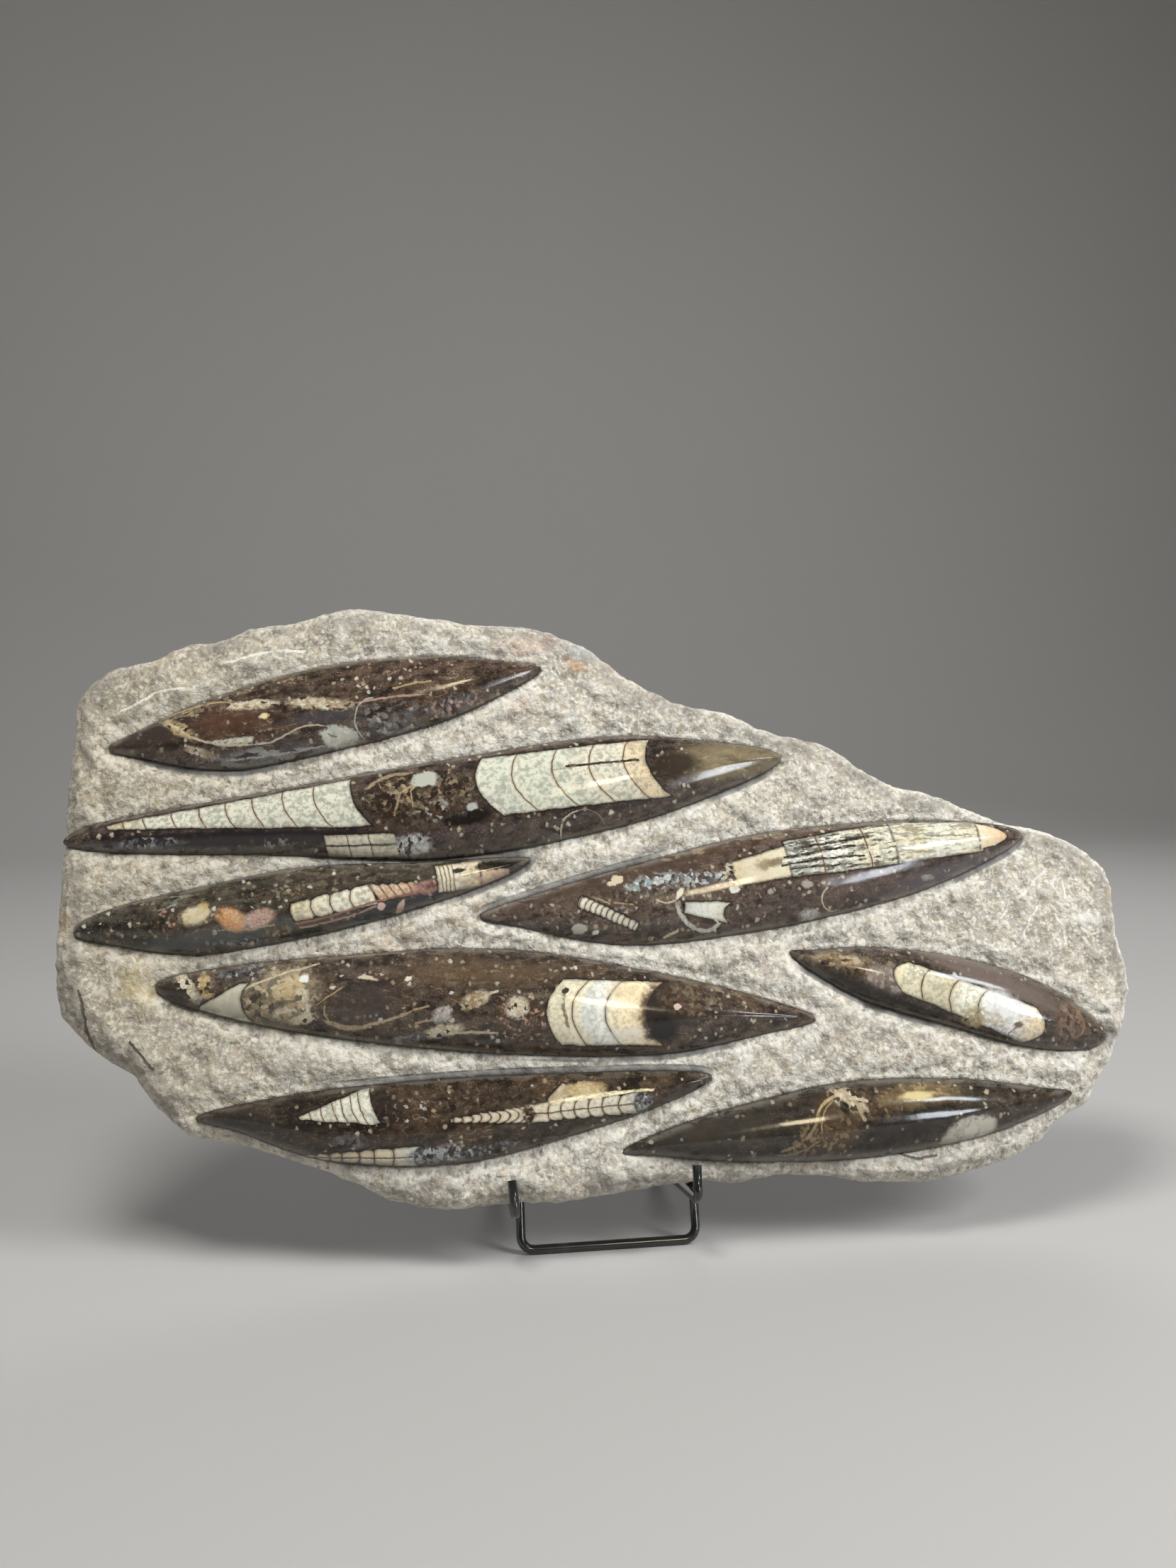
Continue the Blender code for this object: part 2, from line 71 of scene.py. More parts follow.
# Each polished shell: its tips, how far the upper and lower edges stand off the line between the
# tips at five stations, the height of the dome, and how sharp its crest is at either tip.
shellShapes = {
    "top_left": {
        "tips": ((-235, 224), (-21, 266)), "height": 12, "crest": (0.2, 0.6),
        "upper": (6.4, 16.7, 22.2, 17.1, 6.1), "lower": (8.1, 22.4, 23.1, 18.5, 8.2)},
    "long_upper": {
        "tips": ((-255, 179), (104, 216)), "height": 12, "crest": (0.3, 0.7),
        "upper": (7.2, 11.9, 18.4, 21.6, 10.1), "lower": (9.2, 18.4, 32, 26.6, 12)},
    "left": {
        "tips": ((-247, 134), (-30, 165)), "height": 11, "crest": (0.4, 0.4),
        "upper": (8.3, 12.3, 13.9, 7.2, 2.9), "lower": (7.7, 19.8, 20.2, 15.1, 7.4)},
    "right": {
        "tips": ((-56, 137), (233, 173)), "height": 12, "crest": (0.4, 0.4),
        "upper": (5, 12.7, 20, 16.7, 8.3), "lower": (9, 26.3, 29.2, 23.9, 11.4)},
    "centre": {
        "tips": ((-209, 108), (110, 80)), "height": 13, "crest": (0.2, 0.9),
        "upper": (8.9, 18.6, 26.5, 18.9, 7.9), "lower": (10.3, 19.5, 23.8, 20.7, 7.2)},
    "small_right": {
        "tips": ((100, 114), (264, 65)), "height": 11, "crest": (0.4, 0.3),
        "upper": (4.1, 13.7, 19.8, 19.2, 9.3), "lower": (6.5, 14.4, 15.9, 16.1, 10)},
    "bottom_left": {
        "tips": ((-189, 47), (55, 55)), "height": 11, "crest": (0.2, 0.4),
        "upper": (4.4, 8.4, 8.9, 6.6, 3.7), "lower": (6.7, 24.7, 30.2, 20.3, 8.9)},
    "bottom_right": {
        "tips": ((9, 21), (241, 38)), "height": 11, "crest": (0.3, 0.9),
        "upper": (6.6, 14.7, 19.7, 14, 4.4), "lower": (3.2, 11.5, 17.4, 15.6, 7.5)},
}


# Powers of a dome's swell along the shell, of its round part and of its crest, and how quickly
# the crest of a tip dies out.
domeShape = {"swell": 0.85, "round": 0.7, "crest": 0.85, "crestFade": 3.2}


# Plate geometry that the stone pieces share.

def station(offsets, angle):
    # Edge offset at an angle that runs from 0 at the first tip to pi at the second.
    knots = np.array([-offsets[0], 0, *offsets, 0, -offsets[-1]], float)
    along = angle / math.pi * 6
    index = np.clip(along.astype(int), 0, 5)
    t = along - index
    a, b, c, d = (knots[index + i] for i in range(4))
    return b + 0.5 * t * (c - a + t * (2 * a - 5 * b + 4 * c - d + t * (3 * (b - c) + d - a)))


class Shell:
    def __init__(self, shape):
        self.shape = shape
        self.first, second = (np.array(tip, float) for tip in shape["tips"])
        self.length = float(np.linalg.norm(second - self.first))
        self.along = (second - self.first) / self.length
        self.across = np.array([-self.along[1], self.along[0]])
        top, bottom = self.edges(np.radians(np.arange(10, 171, 5)))
        self.widest = float((top - bottom).max()) / 2

    def edges(self, angle):
        return station(self.shape["upper"], angle), -station(self.shape["lower"], angle)

    def point(self, angle, lane):
        top, bottom = self.edges(angle)
        offset = (top + bottom) / 2 + lane * (top - bottom) / 2
        travel = self.length * (1 - np.cos(angle)) / 2
        return self.first + travel[:, None] * self.along + offset[:, None] * self.across

    def locate(self, points):
        # Angle, lane, distance outside the edge and depth inside it, for many points.
        travel, offset = (points - self.first) @ self.along, (points - self.first) @ self.across
        angle = np.arccos(1 - 2 * np.clip(travel / self.length, 0, 1))
        top, bottom = self.edges(angle)
        half = np.maximum((top - bottom) / 2, 1e-3)
        lane = (offset - (top + bottom) / 2) / half
        beyond = np.maximum(np.maximum(-travel, travel - self.length), 0)
        sideways = np.maximum(np.maximum(offset - top, bottom - offset), 0)
        inside = np.where(beyond > 0, 0, (1 - np.minimum(np.abs(lane), 1)) * half)
        return angle, lane, np.hypot(beyond, sideways), inside

    def dome(self, angle, lane):
        top, bottom = self.edges(angle)
        swell = np.maximum((top - bottom) / 2 / self.widest, 0) ** domeShape["swell"]
        first, second = self.shape["crest"]
        near = (1 - np.cos(angle)) / 2 * domeShape["crestFade"]
        sharp = first * np.clip(1 - near, 0, 1)
        sharp += second * np.clip(near - (domeShape["crestFade"] - 1), 0, 1)
        rounded = np.maximum(1 - lane * lane, 0) ** domeShape["round"]
        roof = np.maximum(1 - np.abs(lane), 0) ** domeShape["crest"]
        return self.shape["height"] * swell * (rounded + (roof - rounded) * sharp)


shells = {name: Shell(shape) for name, shape in shellShapes.items()}


def span(start, end):
    # Length of a straight line and its turn in degrees.
    return math.dist(start, end), math.degrees(math.atan2(end[1] - start[1], end[0] - start[0]))


def walk(points, spacing):
    # Points at an even spacing along a closed line.
    closed = np.vstack([points, points[:1]])
    reach = np.concatenate([[0], np.cumsum(np.linalg.norm(np.diff(closed, axis=0), axis=1))])
    at = np.linspace(0, reach[-1], round(reach[-1] / spacing), endpoint=False)
    return np.stack([np.interp(at, reach, closed[:, axis]) for axis in (0, 1)], axis=1)


def nearestTo(line):
    tree = kdtree.KDTree(len(line))
    for index, (u, v) in enumerate(line):
        tree.insert((u, v, 0), index)
    tree.balance()
    return lambda points: np.array([tree.find((u, v, 0))[2] for u, v in points])


outlineRing = walk(np.array(plate["outline"], float), plate["ringSpacing"])
rimDistance = nearestTo(walk(outlineRing, plate["rimSpacing"]))


def rimDrop(distance):
    return plate["rimDepth"] * np.maximum(0, 1 - distance / plate["rimBevel"]) ** plate["rimCurve"]


def noiseAt(points, size, layer=0.0):
    return np.array([noise.noise(Vector((u / size, v / size, layer))) for u, v in points])


def coordinates(piece):
    flat = np.empty(len(piece.data.vertices) * 3, np.float32)
    piece.data.vertices.foreach_get("co", flat)
    return flat.reshape(-1, 3).astype(float)


def setCoordinates(piece, points):
    piece.data.vertices.foreach_set("co", points.astype(np.float32).ravel())
    piece.data.update()


def standUp(piece):
    # Millimetres on the bench to metres on the stand, with the object left at the origin.
    turn = Matrix.Rotation(math.radians(90 - plate["lean"]), 4, "X")
    place = Matrix.Translation(Vector(plate["origin"]) * mm)
    piece.data.transform(place @ turn @ Matrix.Scale(mm, 4))
    piece.data.update()


def deselectAll():
    if bpy.context.object and bpy.context.object.mode != "OBJECT":
        bpy.ops.object.mode_set(mode="OBJECT")
    bpy.ops.object.select_all(action="DESELECT")


def applyModifier(piece, kind, **settings):
    modifier = piece.modifiers.new(kind.lower(), kind)
    for key, value in settings.items():
        setattr(modifier, key, value)
    bpy.context.view_layer.objects.active = piece
    bpy.ops.object.modifier_apply(modifier=modifier.name)


def storeField(piece, name, values):
    field = piece.data.attributes.new(name, "FLOAT", "POINT")
    field.data.foreach_set("value", values.astype(np.float32))


# Shader maths.

class Value:
    # A number that varies over a surface. Sums and products of it add Math nodes.
    def __init__(self, finish, socket):
        self.finish, self.socket = finish, socket

    def math(self, operation, *others):
        return self.finish.math(operation, self, *others)

    def __add__(self, other):
        return self.math("ADD", other)

    def __sub__(self, other):
        return self.math("SUBTRACT", other)

    def __rsub__(self, other):
        return self.finish.math("SUBTRACT", other, self)

    def __mul__(self, other):
        return self.math("MULTIPLY", other)

    def __truediv__(self, other):
        return self.math("DIVIDE", other)

    def __rtruediv__(self, other):
        return self.finish.math("DIVIDE", other, self)

    def __pow__(self, other):
        return self.math("POWER", other)

    def __abs__(self):
        return self.math("ABSOLUTE")

    __radd__ = __add__
    __rmul__ = __mul__

    def least(self, other):
        return self.math("MINIMUM", other)

    def most(self, other):
        return self.math("MAXIMUM", other)

    def fade(self, zeroAt, oneAt):
        # A smooth step from 0 at one value to 1 at the other.
        return self.finish.number("ShaderNodeMapRange", {"interpolation_type": "SMOOTHSTEP"},
                                  {"Value": self, "From Min": zeroAt, "From Max": oneAt})


class Finish:
    def __init__(self, name, **constants):
        self.material = bpy.data.materials.new(name)
        self.material.use_nodes = True
        self.tree = self.material.node_tree
        self.shader = self.tree.nodes["Principled BSDF"]
        for socket, value in constants.items():
            self.shader.inputs[socket.replace("_", " ")].default_value = value

    def node(self, kind, settings, sockets):
        node = self.tree.nodes.new(kind)
        for key, value in settings.items():
            if key == "stops":
                self.setStops(node.color_ramp, value)
            else:
                setattr(node, key, value)
        for key, value in sockets.items():
            self.feed(node.inputs[key], value)
        return node

    def setStops(self, ramp, stops):
        while len(ramp.elements) < len(stops):
            ramp.elements.new(1.0)
        for element, (position, color) in zip(ramp.elements, stops):
            element.position, element.color = position, (*color, 1)

    def feed(self, socket, value):
        if isinstance(value, Value):
            value = value.socket
        if isinstance(value, bpy.types.NodeSocket):
            self.tree.links.new(value, socket)
        elif socket.type == "RGBA" and len(value) == 3:
            socket.default_value = (*value, 1)
        else:
            socket.default_value = value

    def number(self, kind, settings, sockets, out=0):
        return Value(self, self.node(kind, settings, sockets).outputs[out])

    def math(self, operation, *values):
        return self.number("ShaderNodeMath", {"operation": operation}, dict(enumerate(values)))

    def vector(self, operation, *values):
        node = self.node("ShaderNodeVectorMath", {"operation": operation}, dict(enumerate(values)))
        return node.outputs[0]

    def split(self, vector):
        node = self.node("ShaderNodeSeparateXYZ", {}, {0: vector})
        return [Value(self, node.outputs[axis]) for axis in range(3)]

    def mix(self, factor, first, second, blend="MIX"):
        node = self.node("ShaderNodeMix", {"data_type": "RGBA", "blend_type": blend},
                         {0: factor, 6: first, 7: second})
        return node.outputs[2]

    def ramp(self, value, stops):
        return self.node("ShaderNodeValToRGB", {"stops": stops}, {0: value}).outputs[0]

    def millimetres(self, origin=(0, 0, 0), turn=0):
        # Object coordinates in millimetres from an origin, turned (degrees) about the width.
        place = self.node("ShaderNodeTexCoord", {}, {}).outputs["Object"]
        return self.node("ShaderNodeMapping", {"vector_type": "TEXTURE"}, {
            "Vector": place, "Location": Vector(origin) * mm,
            "Rotation": (math.radians(turn), 0, 0), "Scale": (mm, mm, mm)}).outputs[0]

    def plateSpace(self):
        return self.millimetres(plate["origin"], 90 - plate["lean"])

    def local(self, place, at, turn=0.0, scale=(1, 1)):
        # Coordinates about a point, turned (degrees) and divided by a size.
        return self.node("ShaderNodeMapping", {"vector_type": "TEXTURE"}, {
            "Vector": place, "Location": (*at, 0), "Rotation": (0, 0, math.radians(turn)),
            "Scale": (*scale, 1)}).outputs[0]

    def reach(self, local):
        # Distance from the origin of local coordinates.
        return self.number("ShaderNodeVectorMath", {"operation": "LENGTH"}, {0: local}, "Value")

    def strokeDistance(self, place, start, end):
        length, turn = span(start, end)
        x, y, _ = self.split(self.local(place, start, turn))
        beyond = x - x.most(0).least(length)
        return (beyond * beyond + y * y) ** 0.5

    def channels(self, color):
        node = self.node("ShaderNodeSeparateColor", {}, {0: color})
        return [Value(self, node.outputs[channel]) for channel in (0, 1)]

    def layers(self, color, *layers):
        # A layer is a mask, a tint and, where the color below shows through, the tint's share.
        for mask, tint, *share in layers:
            color = self.mix(mask, color, self.mix(*share, color, tint) if share else tint)
        return color

    def grain(self, place, size, detail=2.0, roughness=0.5, distortion=0.0):
        return self.number("ShaderNodeTexNoise", {"noise_dimensions": "3D"}, {
            "Vector": place, "Scale": 1 / size, "Detail": detail, "Roughness": roughness,
            "Distortion": distortion})

    def wobble(self, place, size, amount, detail=2.0):
        colored = self.node("ShaderNodeTexNoise", {"noise_dimensions": "3D"}, {
            "Vector": place, "Scale": 1 / size, "Detail": detail}).outputs["Color"]
        shift = self.vector("SUBTRACT", colored, (0.5, 0.5, 0.5))
        return self.vector("ADD", place, self.vector("MULTIPLY", shift, (2 * amount,) * 3))

    def specks(self, place, size, share, radius):
        # Separate dots: a share of the cells of a Voronoi pattern holds one.
        node = self.node("ShaderNodeTexVoronoi", {}, {"Vector": place, "Scale": 1 / size,
                                                      "Randomness": 1.0})
        chance = self.split(node.outputs["Color"])[0]
        near = Value(self, node.outputs["Distance"]).fade(radius, radius * 0.6)
        return near * chance.fade(share + 0.02, share - 0.02)

    def complete(self, color, roughness, strength, depth, height):
        # The depth is the bump's, in millimetres.
        self.feed(self.shader.inputs["Base Color"], color)
        self.feed(self.shader.inputs["Roughness"], roughness)
        bump = self.node("ShaderNodeBump", {}, {
            "Strength": strength, "Distance": mm * depth, "Height": height})
        self.feed(self.shader.inputs["Normal"], bump.outputs[0])
        return self.material


def lowest(values):
    return functools.reduce(lambda first, second: first.least(second), values)


def highest(values):
    return functools.reduce(lambda first, second: first.most(second), values)


# Tints of the marks in the polished stone.

cream = (0.54, 0.47, 0.33)
ivory = (0.62, 0.59, 0.47)
white = (0.70, 0.70, 0.63)
milky = (0.46, 0.47, 0.44)
green = (0.53, 0.53, 0.43)
tan = (0.36, 0.27, 0.16)
gold = (0.44, 0.33, 0.16)
orange = (0.50, 0.25, 0.11)
pink = (0.50, 0.31, 0.24)
khaki = (0.16, 0.135, 0.09)
umber = (0.085, 0.050, 0.028)
slate = (0.115, 0.120, 0.130)
moss = (0.13, 0.14, 0.10)
ink = (0.012, 0.010, 0.008)
greys = [(0.0, ink), (0.35, slate), (0.7, (0.30, 0.30, 0.28)), (1.0, milky)]
earths = [(0.0, ink), (0.3, umber), (0.55, khaki), (0.8, tan), (1.0, cream)]
pales = [(0.0, khaki), (0.25, tan), (0.55, cream), (0.8, ivory), (1.0, white)]


# Size in millimetres, detail and roughness of the grains in the polished stone.
stoneGrains = {"fine": (0.9, 3.0, 0.65), "blot": (2.0, 2.0, 0.5), "cloud": (4.5, 4.0, 0.6),
               "broad": (22, 3.0, 0.55)}


class PolishedStone(Finish):
    # Dark polished limestone whose marks are laid over one another in plate coordinates.
    def __init__(self, name, turn, body):
        super().__init__(name, IOR=1.42, Coat_Weight=0.2, Coat_Roughness=0.03)
        self.place = self.plateSpace()
        flat = self.vector("MULTIPLY", self.place, (1, 1, 0))
        self.where = self.wobble(self.wobble(flat, 6.0, 0.8), 1.1, 0.3)
        self.ragged = self.wobble(self.wobble(flat, 5.0, 1.2), 1.5, 0.7)
        self.torn = self.wobble(self.ragged, 1.1, 0.55, 3.0)
        self.fine, self.blot, self.cloud, self.broad = (
            self.grain(self.place, *grain) for grain in stoneGrains.values())
        self.streak = self.grain(self.local(self.ragged, (0, 0), turn, (3.4, 1)), 3.6, 4.0, 0.6, 0.4)
        self.within = self.number("ShaderNodeAttribute", {"attribute_name": "within"}, {}, "Fac")
        self.edgeColor = body.get("edge", (0.17, 0.15, 0.125))
        grit = self.fine.fade(0.52, 0.66) * self.cloud.fade(0.42, 0.62)
        threads = self.grain(self.local(self.ragged, (3, 8), turn, (3.6, 1)), 4.4, 1.0)
        threads = abs(threads - 0.5).fade(0.022, 0.006) * self.broad.fade(0.46, 0.60)
        threads = threads * self.cloud.fade(0.4, 0.55)
        self.color = self.layers(
            body["dark"],
            (self.streak.fade(0.40, 0.62), body["mid"]),
            (self.broad.fade(0.42, 0.62) * 0.6, body["brown"]),
            (self.cloud.fade(0.50, 0.34) * 0.65, ink),
            (grit * body.get("grit", 0.6), body["fleck"]),
            (threads * body.get("threads", 0.5), body["fleck"]))
        for size, radius, strength in ((2.6, 0.34, 0.55), (5.5, 0.20, 0.7)):
            self.crumbs(size, body.get("crumbs", 0.10), radius, strength)

    def crumbs(self, size, share, radius, strength):
        # Ragged grains of shell: a share of the cells of a Voronoi pattern holds one.
        cells = self.node("ShaderNodeTexVoronoi", {"voronoi_dimensions": "2D"}, {
            "Vector": self.torn, "Scale": 1 / size})
        chance, shade = self.channels(cells.outputs["Color"])
        near = Value(self, cells.outputs["Distance"]).fade(radius * 1.25, radius * 0.6)
        mask = near * chance.fade(share + 0.01, share - 0.01) * strength
        self.color = self.mix(mask, self.color, self.ramp(shade, pales))

    def oval(self, at, radii, turn, soft):
        distance = self.reach(self.local(self.ragged, at, turn, radii))
        return (distance + (self.cloud - 0.5) * 0.6).fade(1 + soft, 1 - soft)

    def spot(self, at, radii, turn, color, strength=1.0, soft=0.18, mottle=None):
        mask = self.oval(at, radii, turn, soft) * strength
        if mottle:
            mask = mask * self.blot.fade(mottle, mottle + 0.16)
        self.color = self.mix(mask, self.color, color)

    def rubble(self, at, radii, turn, size, stops, strength=1.0, share=1.0, soft=0.3, stretch=1.0):
        # Broken shell: the cells of a Voronoi pattern, each with a tint of its own.
        spread = self.node("ShaderNodeMapping", {"vector_type": "TEXTURE"}, {
            "Vector": self.torn, "Rotation": (0, 0, math.radians(turn)),
            "Scale": (size * stretch, size, size)}).outputs[0]
        flat, sockets = {"voronoi_dimensions": "2D"}, {"Vector": spread, "Scale": 1.0}
        cells = self.node("ShaderNodeTexVoronoi", flat, sockets)
        gaps = self.number("ShaderNodeTexVoronoi", {**flat, "feature": "DISTANCE_TO_EDGE"}, sockets)
        chance, shade = self.channels(cells.outputs["Color"])
        mask = self.oval(at, radii, turn, soft) * (gaps.fade(0.0, 0.08) * 0.6 + 0.4) * strength
        if share < 1:
            mask = mask * chance.fade(share + 0.02, share - 0.02)
        tint = self.ramp(shade * 0.6 + self.fine * 0.4 + self.blot * 0.5 - 0.26, stops)
        self.color = self.mix(mask, self.color, tint)

    def lay(self, mask, color, strength):
        # Thin marks are fainter where the stone is cloudy.
        mask = mask * self.cloud.fade(0.30, 0.46) * strength
        self.color = self.mix(mask, self.color, self.mix(self.blot.fade(0.6, 0.4) * 0.4, color, khaki))

    def line(self, distance, width):
        # A line with a rough edge, from the distance to its middle.
        return (distance + (self.blot - 0.5) * width * 0.8).fade(width * 0.7, width * 0.3)

    def stroke(self, points, width, color, strength=1.0):
        distance = lowest([self.strokeDistance(self.where, start, end)
                           for start, end in zip(points, points[1:])])
        self.lay(self.line(distance, width), color, strength)

    def arc(self, start, middle, end, width, color, strength=1.0):
        # A bent stroke: the part of a circle from start to end that passes through middle.
        a, b, c = (complex(*point) for point in (start, middle, end))
        ratio = (c - a) / (b - a)
        centre = a + (b - a) * (ratio - abs(ratio) ** 2) / (2j * ratio.imag)
        outward = 1j * (c - a) / abs(c - a)
        if (outward.conjugate() * (b - a)).real < 0:
            outward = -outward
        turn = math.degrees(math.atan2(outward.imag, outward.real))
        edge = (outward.conjugate() * (a - centre)).real
        local = self.local(self.where, (centre.real, centre.imag), turn)
        bulk = self.line(abs(self.reach(local) - abs(a - centre)), width)
        self.lay(bulk * self.split(local)[0].fade(edge - 0.3, edge + 0.3), color, strength)

    def chambers(self, start, end, half, stops, bow=(0, 0), bowLine=None, slant=0.0, septa=(),
                 ribs=None, line=0.45, pinch=0.0, tube=None, streaky=0.0, worn=0.1, edge=0.35,
                 grime=0.7, veil=0.8, gain=1.15):
        # A cut shell: a tapering body with curved ends, walls between its chambers and a tube.
        length, turn = span(start, end)
        x, y, _ = self.split(self.local(self.where, start, turn))
        width = (x / length).most(0).least(1) * (half[1] - half[0]) + half[0]
        slanted = x + y * slant
        curve = y * y
        level = slanted - curve * (bow[0] if bowLine is None else bowLine)
        gaps = [abs(level - at) for at in septa]
        if ribs:
            first, pitch = ribs
            gaps.append((level - first).math("PINGPONG", pitch / 2))
        lines = lowest(gaps) if gaps else None
        if pinch:
            width = width - lines.fade(2.2, 0) * pinch
        depth = width - abs(y)
        ends = (slanted - curve * bow[0]).least(length - slanted + curve * bow[1])
        mask = depth.fade(-edge, edge) * ends.fade(-edge, edge)
        halo = depth.fade(-1.6, -0.3) * ends.fade(-1.6, -0.3) * 0.75
        self.color = self.mix(halo, self.color, ink)
        band = self.grain(self.local(self.where, start, turn, (1, 25)), 6.0, 1.0)
        brighter = [(at, tuple(min(c * gain, 1) for c in color)) for at, color in stops]
        body = self.layers(
            self.ramp(level / length, brighter),
            (band.fade(0.42, 0.62) * 0.45, ivory, 0.5),
            (self.cloud.fade(0.48, 0.66) * 0.5, ivory),
            (self.cloud.fade(0.52, 0.36) * grime * 0.7, moss, 0.45),
            (self.blot.fade(0.50, 0.38) * grime * 0.55, moss, 0.7),
            (self.fine.fade(0.42, 0.32) * grime * 0.5, moss),
            (self.fine.fade(0.58, 0.72) * 0.45, white))
        if streaky:
            long = self.grain(self.local(self.where, start, turn, (9, 1)), 1.9, 2.0, 0.55)
            breaks = self.grain(self.local(self.where, start, turn, (2, 1)), 2.2, 2.0, 0.6)
            left = (level / length).fade(1.1, 0.1)
            torn = (long * 0.66 + breaks * 0.34 - left * 0.05).fade(0.485, 0.425) * streaky
            body = self.mix(torn, body, (0.075, 0.062, 0.050))
        if lines:
            mottle = self.blot * 0.45 + self.cloud * 0.55
            wall = lines.fade(line, line * 0.35) * self.cloud.fade(0.2, 0.45)
            body = self.layers(
                body,
                (lines.fade(0.8, 4.0) * mottle.fade(0.56, 0.42) * veil, (0.30, 0.31, 0.26), 0.75),
                (lines.fade(3.0, 0.8) * mottle.fade(0.44, 0.56) * 0.4, white),
                (lines.fade(line * 3.5, line) * 0.45, tan),
                (wall * 0.9, (0.07, 0.045, 0.028)))
        body = self.mix(depth.least(ends).fade(1.3, 0.2) * 0.45, body, khaki)
        if tube:
            offset, thick, color = tube
            body = self.mix(abs(y - offset).fade(thick, thick * 0.4) * 0.85, body, color)
        gone = self.cloud.fade(0.58, 0.66) * worn
        self.color = self.mix(mask * (1 - gone), self.color, body)

    def finish(self):
        worn = self.within.fade(4.0, 1.0) * self.streak.fade(0.38, 0.56)
        # The shell's edge zone is worn paler; its outermost millimetre, where it meets the matrix, is
        # painted shade darkened nearly to black.
        color = self.layers(self.color, (worn * 0.6, self.edgeColor),
                            (self.within.fade(1.0, 0.2) * 0.75, ink))
        roughness = self.fine * 0.16 + worn * 0.25 + 0.06
        waves = self.grain(self.place, 13, 2.0) * 0.2 + self.fine * 0.02 + self.cloud * 0.05
        return self.complete(color, roughness, 0.6, 1.0, waves)


def paintTopLeft():
    stone = PolishedStone("polished_top_left", 12, {
        "dark": (0.026, 0.018, 0.013), "mid": (0.082, 0.054, 0.038), "brown": (0.098, 0.062, 0.042),
        "fleck": (0.30, 0.24, 0.17), "threads": 0.8})
    stone.spot((-214, 231), (20, 9), 14, (0.040, 0.030, 0.026), 0.8, 0.5)
    stone.spot((-178, 234), (17, 7), 4, (0.085, 0.040, 0.024), 0.6, 0.5)
    stone.rubble((-160, 216), (44, 5.5), 7, 2.0, greys, 0.9, 0.7, 0.4, 3.5)
    stone.rubble((-100, 237), (17, 8), 12, 1.7, greys, 0.5, 0.6, 0.5, 1.5)
    stone.rubble((-66, 244), (14, 4.5), 14, 1.6, [(0, ink), (0.4, slate), (0.7, pink), (1, milky)],
                 0.8, 0.7)
    stone.spot((-130, 236), (17, 3.4), 8, (0.060, 0.060, 0.066), 0.7, 0.5)
    stone.rubble((-196, 241), (14, 2.4), 22, 1.6, earths, 1, 0.85, 0.4, 1.6)
    stone.rubble((-200, 231.5), (9, 3), -32, 1.6, [(0, umber), (0.5, gold), (1, cream)], 0.9, 0.9)
    stone.rubble((-166.5, 243), (12.5, 2.6), 2, 1.3, pales, 0.95, 0.9, 0.35, 2)
    stone.rubble((-132.5, 243), (17, 3.0), -3, 1.2, pales, 0.95, 0.9, 0.35, 1.4)
    stone.arc((-206, 235.5), (-190, 225.5), (-167, 223.5), 1.1, cream, 0.95)
    stone.arc((-209.5, 238.5), (-196, 243.5), (-176, 245.5), 1.0, gold, 0.9)
    stone.stroke([(-183, 224), (-166, 225.5)], 2.6, ivory, 0.9)
    stone.spot((-159.5, 237), (1.9, 1.6), 0, (0.66, 0.54, 0.30), 1, 0.3)
    stone.rubble((-146.5, 257.5), (6, 1.5), 10, 1.5, earths, 0.9)
    stone.rubble((-170.5, 251.5), (5.5, 1.4), 16, 1.5, earths, 0.8)
    stone.arc((-167, 223.5), (-158, 224), (-147, 229), 0.8, milky, 0.95)
    stone.arc((-147, 229), (-140, 232), (-131, 232), 0.8, cream, 0.95)
    stone.arc((-177, 216.5), (-154, 219), (-132, 223.5), 0.9, milky, 0.8)
    stone.arc((-172, 213.5), (-150, 215.5), (-128, 221), 0.6, milky, 0.7)
    stone.rubble((-191, 220), (7.5, 2.2), -20, 1.8, pales, 0.8, 0.8)
    stone.spot((-123.5, 227.3), (9.4, 5.2), -6, (0.41, 0.42, 0.35), 1, 0.12)
    stone.rubble((-123.5, 227.3), (8.8, 4.8), -6, 2.4,
                 [(0, moss), (0.25, milky), (0.6, ivory), (1, white)], 0.7)
    stone.arc((-129, 229), (-127.5, 227.6), (-125, 227.8), 0.9, moss, 0.9)
    stone.arc((-107, 246), (-116, 236), (-111, 226.5), 0.7, milky, 0.95)
    stone.arc((-114, 243), (-99, 246.5), (-83, 247.8), 1.0, pink, 0.85)
    stone.arc((-105, 231), (-96, 230.5), (-88, 233.5), 1.6, milky, 0.6)
    stone.stroke([(-97, 251), (-88, 253.6), (-78, 255.6)], 0.8, gold, 0.95)
    return stone.finish()


